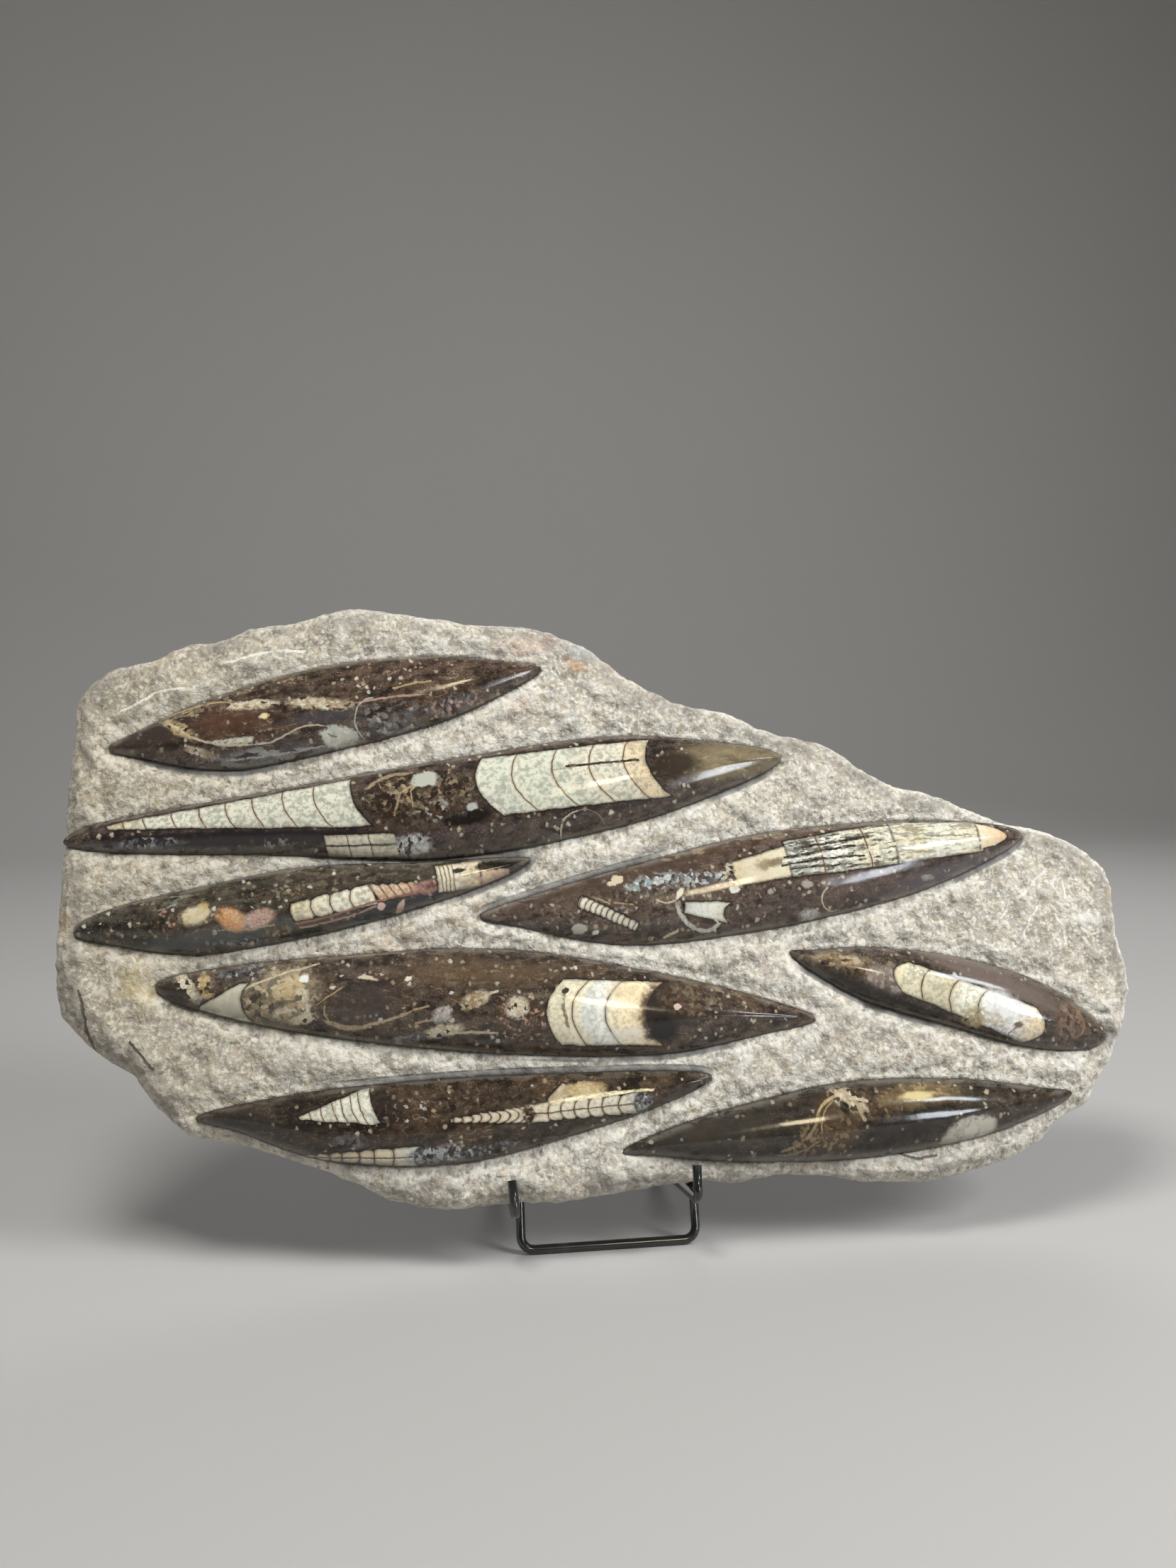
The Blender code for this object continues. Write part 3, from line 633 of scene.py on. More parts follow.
def paintLongUpper():
    stone = PolishedStone("polished_long_upper", 8, {
        "dark": (0.020, 0.015, 0.014), "mid": (0.070, 0.050, 0.042), "brown": (0.085, 0.060, 0.042),
        "fleck": (0.24, 0.19, 0.14)})
    stone.rubble((-160, 205), (85, 5), 9, 1.8, [(0, ink), (0.4, khaki), (0.8, moss), (1, green)],
                 0.75, 0.8, 0.4, 4)
    stone.spot((75, 214), (32, 10), 6, (0.20, 0.165, 0.095), 0.85, 0.4)
    stone.rubble((80, 214), (26, 7), 6, 1.8, earths, 0.5, 0.8, 0.5, 4)
    stone.spot((45, 211), (13, 6.5), 4, (0.030, 0.020, 0.014), 0.9, 0.35)
    # the break between the two lengths of shell
    stone.spot((-86, 196), (31, 13), 6, (0.022, 0.015, 0.011), 0.9, 0.25)
    stone.rubble((-84, 199), (27, 11), 6, 2.3, earths, 0.75, 0.55, 0.5)
    stone.spot((-84, 197), (30, 11), 6, tan, 0.35, 0.4, 0.54)
    stone.rubble((-70, 189), (17, 6), 6, 2.0, [(0, ink), (0.5, umber), (0.8, milky), (1, pink)],
                 0.8, 0.45)
    stone.arc((-110, 200), (-101, 206.5), (-90, 208), 1.8, tan, 0.85)
    stone.stroke([(-97, 186), (-94, 197), (-86, 202)], 1.1, tan, 0.8)
    stone.stroke([(-88, 190), (-89, 198), (-83, 206)], 0.8, gold, 0.7)
    stone.spot((-82, 204.5), (6.6, 4.6), 10, (0.40, 0.41, 0.34), 1, 0.15)
    stone.spot((-59, 189.5), (2.6, 2), 40, milky, 0.8, 0.3)
    stone.chambers((-233, 184), (-117, 193.5), (1.0, 12.6), [(0, (0.50, 0.40, 0.22)), (0.13, cream),
                   (0.16, green), (0.3, ivory), (0.36, green), (0.55, (0.52, 0.51, 0.40)),
                   (0.7, green), (0.86, (0.54, 0.54, 0.43)), (1, green)], bow=(0, 0.022),
                   bowLine=0.027, slant=0.32, septa=(7.5, 17, 30.5, 43.5, 56, 69, 83.5, 98.5),
                   line=0.5, grime=1.0)
    stone.spot((-170, 177), (72, 3.8), 0, (0.022, 0.017, 0.018), 0.95, 0.3)
    stone.rubble((-214, 176), (15, 2.4), 0, 1.7, greys, 0.9, 0.6)
    stone.rubble((-155, 174.5), (10, 2), 0, 1.7, greys, 0.8, 0.5)
    stone.chambers((-130, 172.3), (-96, 172), (4.9, 5.1),
                   [(0, cream), (0.5, (0.58, 0.53, 0.40)), (1, cream)], septa=(11, 21.5), line=0.35,
                   slant=0.25, tube=(0.1, 0.7, ink), worn=0, grime=0.5)
    stone.rubble((-88.5, 171.5), (9, 5), 0, 1.4, [(0, slate), (0.5, milky), (1, white)], 0.95, 0.8)
    stone.chambers((-56, 199.5), (30.5, 209), (15.6, 15.6), [(0, (0.56, 0.55, 0.44)),
                   (0.12, (0.50, 0.52, 0.43)), (0.25, (0.55, 0.55, 0.43)),
                   (0.45, (0.52, 0.54, 0.44)), (0.62, (0.60, 0.56, 0.43)),
                   (0.84, (0.58, 0.54, 0.42)), (0.88, (0.60, 0.46, 0.27)), (1, (0.58, 0.44, 0.25))],
                   bow=(0.032, 0.030), bowLine=0.031, slant=0.2, septa=(18, 38.5, 57.5, 75.5),
                   line=0.55, worn=0)
    stone.stroke([(-11, 209.6), (-3, 210.3), (10, 211.6), (26, 213)], 1.5, ink, 1)
    stone.stroke([(-18, 207.6), (-6, 209.6)], 0.9, (0.30, 0.22, 0.14), 0.7)
    stone.spot((-62, 184), (12, 3), 10, ink, 0.9)
    stone.rubble((-10, 180), (60, 5), 8, 2.2, [(0, ink), (0.5, umber), (0.8, slate), (1, tan)], 0.7,
                 0.4, 0.4, 2)
    stone.arc((-6, 187), (-13.5, 181.5), (-14, 174), 0.8, cream, 0.95)
    stone.arc((-6, 187), (2, 186.5), (8, 181), 0.5, tan, 0.6)
    return stone.finish()


def paintLeft():
    stone = PolishedStone("polished_left", 8, {
        "dark": (0.020, 0.018, 0.014), "mid": (0.070, 0.060, 0.042), "brown": (0.085, 0.062, 0.042),
        "fleck": (0.24, 0.21, 0.15), "crumbs": 0.14})
    stone.rubble((-115, 159), (60, 7), 7, 1.9, [(0, ink), (0.5, (0.060, 0.048, 0.034)), (1, khaki)],
                 0.85, 0.8, 0.4, 2.5)
    stone.spot((-190, 128), (70, 4), 8, (0.075, 0.080, 0.075), 0.7, 0.6)
    stone.rubble((-202, 146.5), (10, 2.6), 18, 1.6, [(0, ink), (0.5, moss), (1, milky)], 0.9, 0.7,
                 0.3, 2)
    stone.rubble((-203.5, 136.5), (4.5, 7), 0, 1.6,
                 [(0, ink), (0.5, umber), (0.8, pink), (1, milky)], 0.9, 0.55)
    stone.spot((-190, 139.5), (6.8, 3.6), 12, (0.56, 0.46, 0.24), 1, 0.2)
    stone.spot((-187, 143), (3.2, 2.8), 30, (0.40, 0.31, 0.12), 0.9, 0.3)
    stone.rubble((-190, 139.5), (6.5, 4.5), 12, 1.7, [(0, gold), (0.5, cream), (1, ivory)], 0.7)
    stone.rubble((-173, 137.3), (7.5, 4.8), -25, 2.2, [(0, umber), (0.3, orange),
                 (0.7, (0.56, 0.36, 0.20)), (1, pink)], 1)
    stone.rubble((-161, 137), (8, 4.2), 20, 2.0, [(0, umber), (0.4, pink),
                 (0.75, (0.46, 0.36, 0.30)), (1, milky)], 0.95)
    stone.stroke([(-179, 132.5), (-165, 132.2), (-154, 134)], 0.8, tan, 0.9)
    stone.rubble((-152, 148.5), (14, 3), 6, 1.7, earths, 0.85, 0.4)
    stone.rubble((-152, 131.5), (6, 2), 4, 1.6, earths, 0.8)
    stone.rubble((-168, 127), (14, 2.2), 6, 1.5, greys, 0.9, 0.5)
    stone.rubble((-112, 134), (24, 3.4), 16, 1.7, [(0, ink), (0.6, slate), (1, milky)], 0.8, 0.5)
    stone.spot((-92, 139.5), (32, 6), 14, (0.030, 0.033, 0.038), 0.9, 0.4)
    stone.chambers((-146, 139.3), (-107, 147.7), (4.3, 5.0), [(0, (0.52, 0.44, 0.24)), (0.3, cream),
                   (0.5, ivory), (1, (0.56, 0.50, 0.36))], bow=(0.06, 0.03),
                   septa=(9.7, 18.8, 28.4), line=0.5, pinch=0.9, worn=0, gain=1.45)
    stone.chambers((-106.5, 147.8), (-87, 150.8), (4.6, 2.2),
                   [(0, (0.58, 0.36, 0.22)), (1, orange)], slant=0.5, ribs=(0, 4.2), line=0.4,
                   worn=0.4, pinch=0.6)
    stone.rubble((-82, 150.8), (8, 3.2), 14, 1.8, [(0, ink), (0.4, (0.26, 0.13, 0.12)), (1, pink)],
                 0.95)
    stone.stroke([(-144, 134.2), (-126, 138), (-105.5, 144.3), (-78, 150)], 1.0, (0.30, 0.13, 0.08),
                 0.95)
    stone.stroke([(-142, 132.6), (-119.5, 137), (-106, 142)], 0.8, pink, 0.8)
    stone.spot((-103.5, 142), (2.0, 1.8), 0, (0.62, 0.46, 0.38), 1, 0.2)
    stone.spot((-94.5, 141.6), (1.5, 3.4), -28, (0.56, 0.42, 0.34), 1, 0.2)
    stone.chambers((-76.5, 154.7), (-54, 158), (6.8, 6.2), [(0, (0.50, 0.45, 0.30)), (0.4, cream),
                   (1, (0.60, 0.44, 0.25))], bow=(-0.01, 0), septa=(2, 4, 6, 8), line=0.3, worn=0,
                   grime=0.5)
    stone.chambers((-55, 156.6), (-41, 158), (5.4, 1.2), [(0, (0.58, 0.44, 0.27)), (1, pink)],
                   worn=0.4)
    stone.rubble((-52, 154), (11, 3), 10, 1.5, [(0, (0.30, 0.16, 0.12)), (0.5, pink), (1, cream)],
                 0.8, 0.6)
    stone.spot((-66, 158.6), (3.6, 1.0), 14, ink, 0.95, 0.2)
    stone.spot((-45.5, 162), (14, 2.4), 9, ink, 0.95, 0.25)
    return stone.finish()


def paintRight():
    stone = PolishedStone("polished_right", 8, {
        "dark": (0.048, 0.034, 0.028), "mid": (0.105, 0.076, 0.062), "brown": (0.10, 0.066, 0.048),
        "fleck": (0.27, 0.22, 0.18), "grit": 0.5, "edge": (0.21, 0.185, 0.16)})
    stone.spot((20, 156), (60, 8), 14, (0.070, 0.046, 0.032), 0.7, 0.5)
    stone.rubble((70, 170), (70, 4), 10, 1.8, earths, 0.7, 0.5, 0.4, 3)
    stone.rubble((30, 138), (60, 10), 4, 1.5, [(0, umber), (0.6, khaki), (1, milky)], 0.6, 0.35)
    stone.rubble((30, 150), (13, 4.2), 10, 1.8, [(0, ink), (0.35, (0.20, 0.27, 0.27)), (0.7, milky),
                 (1, white)], 1, 0.65)
    stone.rubble((53, 150.5), (15, 3.6), 4, 1.7, [(0, ink), (0.4, slate), (0.7, milky), (1, white)],
                 1, 0.7)
    stone.spot((11.5, 151.6), (4.8, 2.6), 28, cream, 1, 0.12)
    stone.chambers((-7.5, 141.5), (21, 128), (3.2, 2.2),
                   [(0, ivory), (0.5, (0.60, 0.58, 0.48)), (1, ivory)], bow=(0.1, -0.1),
                   ribs=(3.4, 2.9), line=0.42, pinch=0.5, worn=0, grime=0.4)
    stone.spot((-7.5, 128), (3.6, 2.4), 0, (0.46, 0.45, 0.36), 1, 0.15)
    stone.spot((0.5, 126.5), (1.7, 1.1), 0, white, 0.9, 0.3)
    stone.stroke([(1, 142.8), (7.5, 139.6)], 0.9, tan, 0.9)
    stone.stroke([(10, 140), (19, 138.8)], 0.9, tan, 0.9)
    stone.arc((44.5, 146), (41.5, 141), (31, 141), 0.9, cream, 0.9)
    stone.spot((42.5, 143.5), (1.6, 3.2), -35, ivory, 1, 0.2)
    stone.chambers((45, 136.4), (64.5, 134), (2.6, 4.8), [(0, milky), (0.5, white), (1, ivory)],
                   bow=(0, 0.14), bowLine=0.1, worn=0, grime=0.4, edge=0.3)
    stone.arc((41, 138.5), (44, 131.5), (51.5, 126.3), 2.0, (0.52, 0.51, 0.44), 1)
    stone.arc((51, 126.4), (57, 125.2), (62.5, 128.4), 1.8, (0.60, 0.59, 0.52), 1)
    stone.stroke([(62.5, 128.4), (60.5, 130)], 1.2, ivory, 0.9)
    stone.spot((70.5, 144.5), (2.8, 1.8), -10, white, 1, 0.2)
    stone.stroke([(35, 122.8), (41, 125.2)], 1.4, cream, 1)
    stone.spot((108.5, 146.4), (2.6, 2.1), 0, (0.36, 0.32, 0.26), 1, 0.3)
    stone.spot((89, 143), (1.6, 1.2), 0, (0.36, 0.33, 0.28), 0.9, 0.3)
    stone.rubble((110.5, 131.5), (5.4, 2.6), 0, 1.7, [(0, khaki), (0.5, milky), (1, ivory)], 1)
    stone.arc((119.8, 144.8), (116.4, 139.8), (125, 134), 0.8, cream, 1)
    stone.rubble((175, 149), (3.6, 1.5), 0, 1.3, [(0, milky), (1, ivory)], 0.9)
    stone.chambers((71, 152.6), (101, 158.6), (6.0, 8.0), [(0, (0.52, 0.43, 0.26)), (0.35, cream),
                   (1, (0.60, 0.54, 0.38))], bow=(0.05, 0), worn=0.1, edge=0.6, grime=0.3)
    stone.spot((87.5, 157.2), (4.4, 2.8), 10, (0.20, 0.145, 0.075), 0.8, 0.5)
    stone.spot((94, 158), (5, 2), 10, (0.16, 0.115, 0.06), 0.85, 0.5)
    stone.rubble((70, 152), (5, 7), 10, 1.6, [(0, ink), (0.5, cream), (1, ivory)], 0.8, 0.6)
    stone.chambers((100, 159.5), (160, 167.6), (9.6, 11.4), [(0, milky), (0.4, white),
                   (0.7, (0.58, 0.53, 0.36)), (1, ivory)], streaky=1.0, septa=(17.5, 43), line=0.6,
                   worn=0.15, grime=0.9)
    stone.chambers((158, 167.4), (207, 170.6), (11.4, 8.0), [(0, ivory), (0.25, (0.56, 0.51, 0.33)),
                   (0.5, (0.58, 0.58, 0.48)), (0.8, (0.62, 0.58, 0.42)), (1, cream)], streaky=0.55,
                   worn=0, grime=0.6)
    stone.chambers((206, 170.6), (222, 170.4), (8.0, 4.0), [(0, (0.62, 0.54, 0.38)),
                   (0.5, (0.60, 0.45, 0.27)), (1, (0.50, 0.33, 0.18))], bow=(0, -0.3), worn=0,
                   grime=0.4)
    stone.stroke([(96, 156.2), (118, 159.3), (140, 160.5)], 1.1, ink, 1)
    stone.stroke([(98, 160.4), (118, 163.6), (136, 166)], 1.2, ink, 1)
    stone.stroke([(104, 165), (126, 168.2), (144, 171)], 1.4, ink, 1)
    stone.stroke([(100, 154), (126, 156)], 0.9, ink, 0.9)
    stone.stroke([(97, 158.4), (116, 161.4), (134, 163)], 1.3, white, 1)
    stone.stroke([(137, 162.4), (156, 166), (174, 171)], 1.4, (0.66, 0.61, 0.42), 0.95)
    stone.stroke([(162, 157.6), (184, 162), (207, 166.8)], 1.5, white, 0.95)
    stone.stroke([(176, 170.5), (196, 171)], 0.8, khaki, 0.8)
    stone.spot((190, 150), (42, 6), 15, (0.105, 0.095, 0.105), 0.7, 0.6)
    return stone.finish()


def paintCentre():
    stone = PolishedStone("polished_centre", -3, {
        "dark": (0.028, 0.021, 0.017), "mid": (0.080, 0.060, 0.046), "brown": (0.092, 0.062, 0.040),
        "fleck": (0.28, 0.22, 0.15), "edge": (0.16, 0.132, 0.104)})
    rust = (0.115, 0.076, 0.042)
    stone.spot((-54, 108), (38, 6), -3, rust, 0.55, 0.7)
    stone.rubble((-56, 106.5), (36, 4.5), -3, 1.3,
                 [(0, umber), (0.5, rust), (0.85, tan), (1, gold)], 0.6, 0.4, 0.7, 4)
    stone.rubble((-110, 121), (40, 2.6), 8, 1.8, earths, 0.8, 0.6, 0.4, 4)
    stone.spot((-207, 103), (22, 10), 10, (0.030, 0.024, 0.019), 0.8, 0.4)
    stone.rubble((-195, 108), (10, 3.4), -52, 2.4, [(0, khaki), (0.35, cream), (1, ivory)], 1, 0.7)
    stone.rubble((-185.5, 107), (6.5, 3.6), -70, 2.0, [(0, umber), (0.5, gold), (1, cream)], 1, 0.7)
    stone.rubble((-168, 114), (16, 5), 16, 1.7, [(0, ink), (0.5, slate), (1, milky)], 0.8, 0.5)
    # the crushed shell at the left, between the wedge and its pale edge
    stone.spot((-152, 99), (20, 14), 20, (0.165, 0.145, 0.105), 0.95, 0.15)
    stone.spot((-160, 96.5), (11, 8), 16, (0.050, 0.040, 0.030), 0.9, 0.3)
    stone.rubble((-152, 100), (19, 13), 18, 2.2, [(0, ink), (0.3, khaki), (0.6, tan), (0.85, cream),
                 (1, ivory)], 0.85, 0.75)
    stone.rubble((-146, 105), (8, 5), 30, 1.5, [(0, umber), (0.4, gold), (1, cream)], 0.9)
    stone.rubble((-140, 98), (3.4, 6.4), 8, 1.8, [(0, khaki), (0.35, cream), (1, ivory)], 1, 0.9)
    stone.rubble((-147, 94), (8, 2.8), 20, 1.7, [(0, umber), (0.4, tan), (1, ivory)], 1, 0.85)
    stone.rubble((-140, 89.8), (7, 2.2), 10, 1.6, [(0, khaki), (0.4, cream), (1, ivory)], 0.95, 0.9)
    stone.spot((-139.5, 108.3), (2.5, 1.9), 0, white, 1, 0.15)
    stone.stroke([(-168, 104.5), (-152.5, 110.5), (-133, 115.5)], 1.0, cream, 0.95)
    stone.chambers((-188, 96.6), (-169, 98.2), (0.8, 8.8),
                   [(0, (0.46, 0.43, 0.32)), (1, (0.42, 0.40, 0.31))], bow=(0, 0.05), worn=0,
                   grime=0.2)
    stone.spot((-112, 96), (16, 8), 5, (0.060, 0.048, 0.044), 0.7, 0.5)
    stone.arc((-133, 96), (-128, 99.8), (-122, 103), 0.8, tan, 0.95)
    stone.arc((-130, 95.5), (-130.3, 92), (-128.5, 88.5), 0.7, tan, 0.9)
    stone.arc((-129, 88.6), (-121, 85), (-112, 85.2), 2.4, (0.42, 0.32, 0.21), 1)
    stone.arc((-114, 85.2), (-104, 87), (-95, 89.8), 1.9, (0.42, 0.33, 0.22), 1)
    stone.stroke([(-95, 89.8), (-89, 91.2), (-82, 93.2)], 1.0, tan, 0.95)
    stone.spot((-110.5, 107.5), (5, 1.1), -10, (0.50, 0.43, 0.31), 1, 0.25)
    stone.spot((-91, 106.4), (1.7, 1.3), 0, ivory, 1, 0.3)
    stone.rubble((-75.5, 89), (4.6, 3.6), 20, 1.7, [(0, umber), (0.5, milky), (1, pink)], 1)
    stone.rubble((-60, 95), (7, 3.6), 24, 1.6, [(0, umber), (0.4, tan), (1, ivory)], 1, 0.85)
    stone.stroke([(-60, 95), (-55, 97), (-49, 99)], 1.2, cream, 0.95)
    stone.rubble((-75, 81.6), (9, 3), 8, 1.8, [(0, khaki), (0.5, cream), (1, ivory)], 1, 0.85)
    stone.stroke([(-72, 80), (-62, 80.4), (-50, 79.5)], 1.2, cream, 0.9)
    stone.rubble((-92.5, 78.5), (8, 1.8), 4, 1.5, greys, 0.9)
    stone.stroke([(-88, 85.5), (-80, 86.6)], 1.0, tan, 0.9)
    stone.rubble((-38, 86), (14, 11.5), -10, 1.6,
                 [(0, ink), (0.55, umber), (0.8, pink), (1, ivory)], 0.85, 0.5)
    stone.rubble((-40, 91), (5.5, 5), 0, 1.5, [(0, tan), (0.4, cream), (1, white)], 1, 0.9)
    stone.chambers((-26, 88.5), (22, 86), (15.4, 15.2), [(0, (0.46, 0.42, 0.30)),
                   (0.12, (0.52, 0.47, 0.33)), (0.28, (0.56, 0.50, 0.35)),
                   (0.33, (0.50, 0.48, 0.38)), (0.37, milky), (0.5, (0.58, 0.58, 0.52)),
                   (0.60, (0.52, 0.52, 0.46)), (0.64, (0.62, 0.53, 0.35)),
                   (0.85, (0.62, 0.51, 0.32)), (1, (0.52, 0.34, 0.18))], bow=(0.034, 0.040),
                   bowLine=0.036, septa=(12.0, 28.3), line=0.55, worn=0, grime=0.55, veil=0.3,
                   gain=1.55)
    stone.stroke([(-17.5, 96), (-18, 89), (-16, 81)], 1.6, (0.20, 0.145, 0.08), 0.9)
    stone.spot((-16.5, 97.8), (1.6, 1.3), 30, ink, 0.95)
    stone.spot((12, 97), (9, 4), -6, (0.60, 0.46, 0.26), 0.45, 0.5)
    stone.spot((13, 76), (9, 3.4), 6, white, 0.5, 0.5)
    # the open end of the shell, filled with dark mud
    stone.spot((31, 86), (12, 14), 0, (0.030, 0.024, 0.020), 0.9, 0.2)
    stone.rubble((45, 91), (17, 8), -8, 1.9, [(0, ink), (0.4, umber), (0.8, khaki), (1, tan)], 0.85,
                 0.7)
    stone.spot((30, 78), (8, 6), 0, (0.012, 0.010, 0.009), 0.9, 0.4)
    stone.spot((38.2, 88.2), (1.9, 1.6), 0, (0.55, 0.42, 0.34), 1, 0.2)
    stone.rubble((55, 99), (30, 3), -16, 1.8, earths, 0.7, 0.6, 0.4, 4)
    return stone.finish()


def paintSmallRight():
    stone = PolishedStone("polished_small_right", -22, {
        "dark": (0.028, 0.023, 0.017), "mid": (0.085, 0.066, 0.050), "brown": (0.10, 0.074, 0.056),
        "fleck": (0.28, 0.23, 0.17), "edge": (0.15, 0.128, 0.110)})
    stone.spot((200, 98), (48, 7), -27, (0.155, 0.120, 0.100), 0.8, 0.5)
    stone.rubble((126, 103), (20, 9), -12, 1.9, [(0, ink), (0.4, umber), (0.75, khaki), (1, tan)],
                 0.9, 0.8)
    stone.rubble((124, 108.5), (14, 3.4), -6, 1.7, [(0, umber), (0.5, tan), (1, cream)], 0.85, 0.7,
                 0.4, 2)
    stone.rubble((144.5, 97), (10, 9), -10, 1.8, [(0, umber), (0.4, (0.22, 0.18, 0.15)),
                 (0.8, (0.40, 0.33, 0.28)), (1, milky)], 0.95)
    stone.spot((140, 90), (38, 5), -26, (0.016, 0.012, 0.010), 0.85, 0.4)
    stone.chambers((150, 101), (226, 69.5), (7.6, 9.0), [(0, (0.52, 0.45, 0.27)),
                   (0.1, (0.58, 0.53, 0.36)), (0.19, (0.55, 0.49, 0.33)),
                   (0.22, (0.50, 0.45, 0.31)), (0.38, (0.52, 0.46, 0.30)),
                   (0.41, (0.68, 0.65, 0.51)), (0.55, (0.76, 0.72, 0.57)),
                   (0.62, (0.84, 0.82, 0.70)), (0.78, (0.86, 0.83, 0.72)),
                   (0.92, (0.72, 0.58, 0.38)), (1, (0.58, 0.42, 0.24))], bow=(0.11, -0.10),
                   bowLine=0.055, slant=0.10, septa=(14.5, 30, 45.5), line=0.6, worn=0, grime=0.7,
                   veil=0.45, gain=1.4)
    stone.rubble((161, 101), (5, 3), -20, 1.2, [(0, moss), (1, green)], 0.8, 0.6)
    stone.rubble((190, 77.5), (6, 5.5), -25, 1.8, [(0, moss), (0.4, gold), (1, cream)], 0.9, 0.85)
    stone.rubble((200, 76), (7, 3), -25, 1.6, [(0, tan), (0.5, (0.60, 0.47, 0.28)), (1, cream)],
                 0.7, 0.6)
    # Painted reflection: a near-white patch where a window's reflection lies, over the shell's own
    # whiter calcite.
    stone.spot((205, 83), (11, 5.5), -30, (0.80, 0.80, 0.76), 0.75, 0.45)
    stone.spot((212.3, 72.5), (2.6, 1.6), 20, (0.16, 0.10, 0.06), 0.95, 0.3)
    stone.stroke([(211.5, 71.5), (208, 69), (208.5, 65.5)], 0.7, (0.24, 0.16, 0.10), 0.9)
    # Painted shadow: a near-black stripe along the shell's lower side, as its shadow.
    stone.spot((180, 73.5), (40, 3), -24, ink, 0.9, 0.4)
    stone.rubble((240, 72), (8, 11), -10, 2.2, [(0, ink), (0.4, (0.11, 0.070, 0.048)),
                 (0.8, (0.22, 0.155, 0.110)), (1, tan)], 0.8)
    stone.arc((246, 78.5), (248.5, 71.5), (245, 65), 1.1, (0.26, 0.13, 0.06), 0.9)
    return stone.finish()


def paintBottomLeft():
    stone = PolishedStone("polished_bottom_left", 3, {
        "dark": (0.016, 0.012, 0.009), "mid": (0.050, 0.037, 0.026), "brown": (0.080, 0.050, 0.030),
        "fleck": (0.24, 0.18, 0.11), "grit": 0.45, "crumbs": 0.07, "edge": (0.115, 0.100, 0.080)})
    stone.spot((-185, 38), (36, 10), 4, (0.036, 0.034, 0.028), 0.85, 0.6)
    stone.rubble((-66, 51), (34, 6), 2, 1.8, [(0, ink), (0.6, (0.085, 0.050, 0.030)), (0.9, khaki),
                 (1, tan)], 0.6, 0.5)
    stone.rubble((-95, 45.5), (14, 5.5), 0, 1.6, [(0, ink), (0.5, umber), (0.8, milky), (1, ivory)],
                 0.9, 0.45)
    stone.spot((-101, 47), (8, 8), 0, (0.020, 0.014, 0.011), 0.7, 0.3)
    stone.rubble((-119, 33), (8, 3.4), 0, 1.9, [(0, ink), (1, (0.24, 0.23, 0.23))], 0.7, 0.8)
    stone.chambers((-141.5, 45), (-108.8, 49), (0.6, 8.4), [(0, cream), (0.3, (0.50, 0.48, 0.37)),
                   (0.5, green), (0.8, (0.52, 0.52, 0.42)), (1, (0.60, 0.58, 0.47))],
                   bow=(0, 0.022), bowLine=0.02, slant=0.2, septa=(5, 10.3, 15.7, 19.8, 24.0, 27.6),
                   line=0.4, worn=0, grime=1.0)
    stone.chambers((-144, 27.3), (-90, 25), (0.4, 4.6), [(0, cream), (0.5, (0.74, 0.60, 0.40)),
                   (0.85, (0.78, 0.69, 0.48)), (1, white)], bow=(0, 0.12), bowLine=-0.05,
                   septa=(9.5, 15.7, 21.8, 29.6, 36.6, 45.4), line=0.6, tube=(-0.2, 0.5, umber),
                   pinch=0.5, worn=0, grime=0.2, veil=0.1)
    stone.rubble((-76, 25.4), (17, 4.2), 2, 1.6, [(0, ink), (0.35, (0.12, 0.14, 0.17)),
                 (0.75, milky), (1, ivory)], 0.95, 0.75)
    stone.rubble((-52, 27), (14, 3), 4, 1.5, [(0, ink), (0.6, slate), (1, milky)], 0.8, 0.4)
    stone.chambers((-25.5, 46), (-16.5, 53), (2.2, 3.4),
                   [(0, (0.34, 0.27, 0.16)), (1, (0.40, 0.31, 0.18))], bow=(0.1, -0.1), worn=0,
                   grime=0.5)
    stone.spot((-8, 51.3), (10, 4.6), 2, (0.15, 0.10, 0.05), 0.9, 0.12)
    stone.rubble((-8.4, 51.3), (9.2, 3.9), 2, 2.6, [(0, tan), (0.3, gold),
                 (0.7, (0.50, 0.41, 0.24)), (1, cream)], 1)
    stone.chambers((-72.5, 40.4), (-38, 41.4), (1.2, 3.6), [(0, cream), (0.4, (0.56, 0.46, 0.32)),
                   (1, (0.58, 0.52, 0.38))], bow=(0, 0), bowLine=-0.45, ribs=(1.2, 4.4), line=0.75,
                   pinch=0.6, worn=0, grime=0.3)
    stone.chambers((-33.5, 41.6), (15, 44), (4.0, 4.6), [(0, (0.56, 0.48, 0.34)),
                   (0.4, (0.60, 0.54, 0.40)), (1, ivory)], bow=(-0.1, 0.10), bowLine=0.10,
                   septa=(6.4, 12.6, 19, 25.6, 32.6, 40.6), line=0.55, pinch=0.8,
                   tube=(-0.3, 0.55, umber), worn=0, grime=0.4)
    stone.rubble((-36, 41.2), (3.6, 3.8), 0, 1.3, [(0, ink), (0.5, umber), (1, ivory)], 1, 0.8)
    stone.rubble((19.5, 44), (4.6, 5), 0, 1.2, [(0, ink), (0.4, slate), (0.8, milky), (1, white)],
                 1, 0.8)
    # A pale line where a lamp's reflection lies along the crest: painted reflection that also reads as
    # a shell wall.
    stone.stroke([(-18, 47.6), (-2, 49), (12, 49.6), (24, 50)], 1.3, (0.74, 0.67, 0.42), 1)
    return stone.finish()


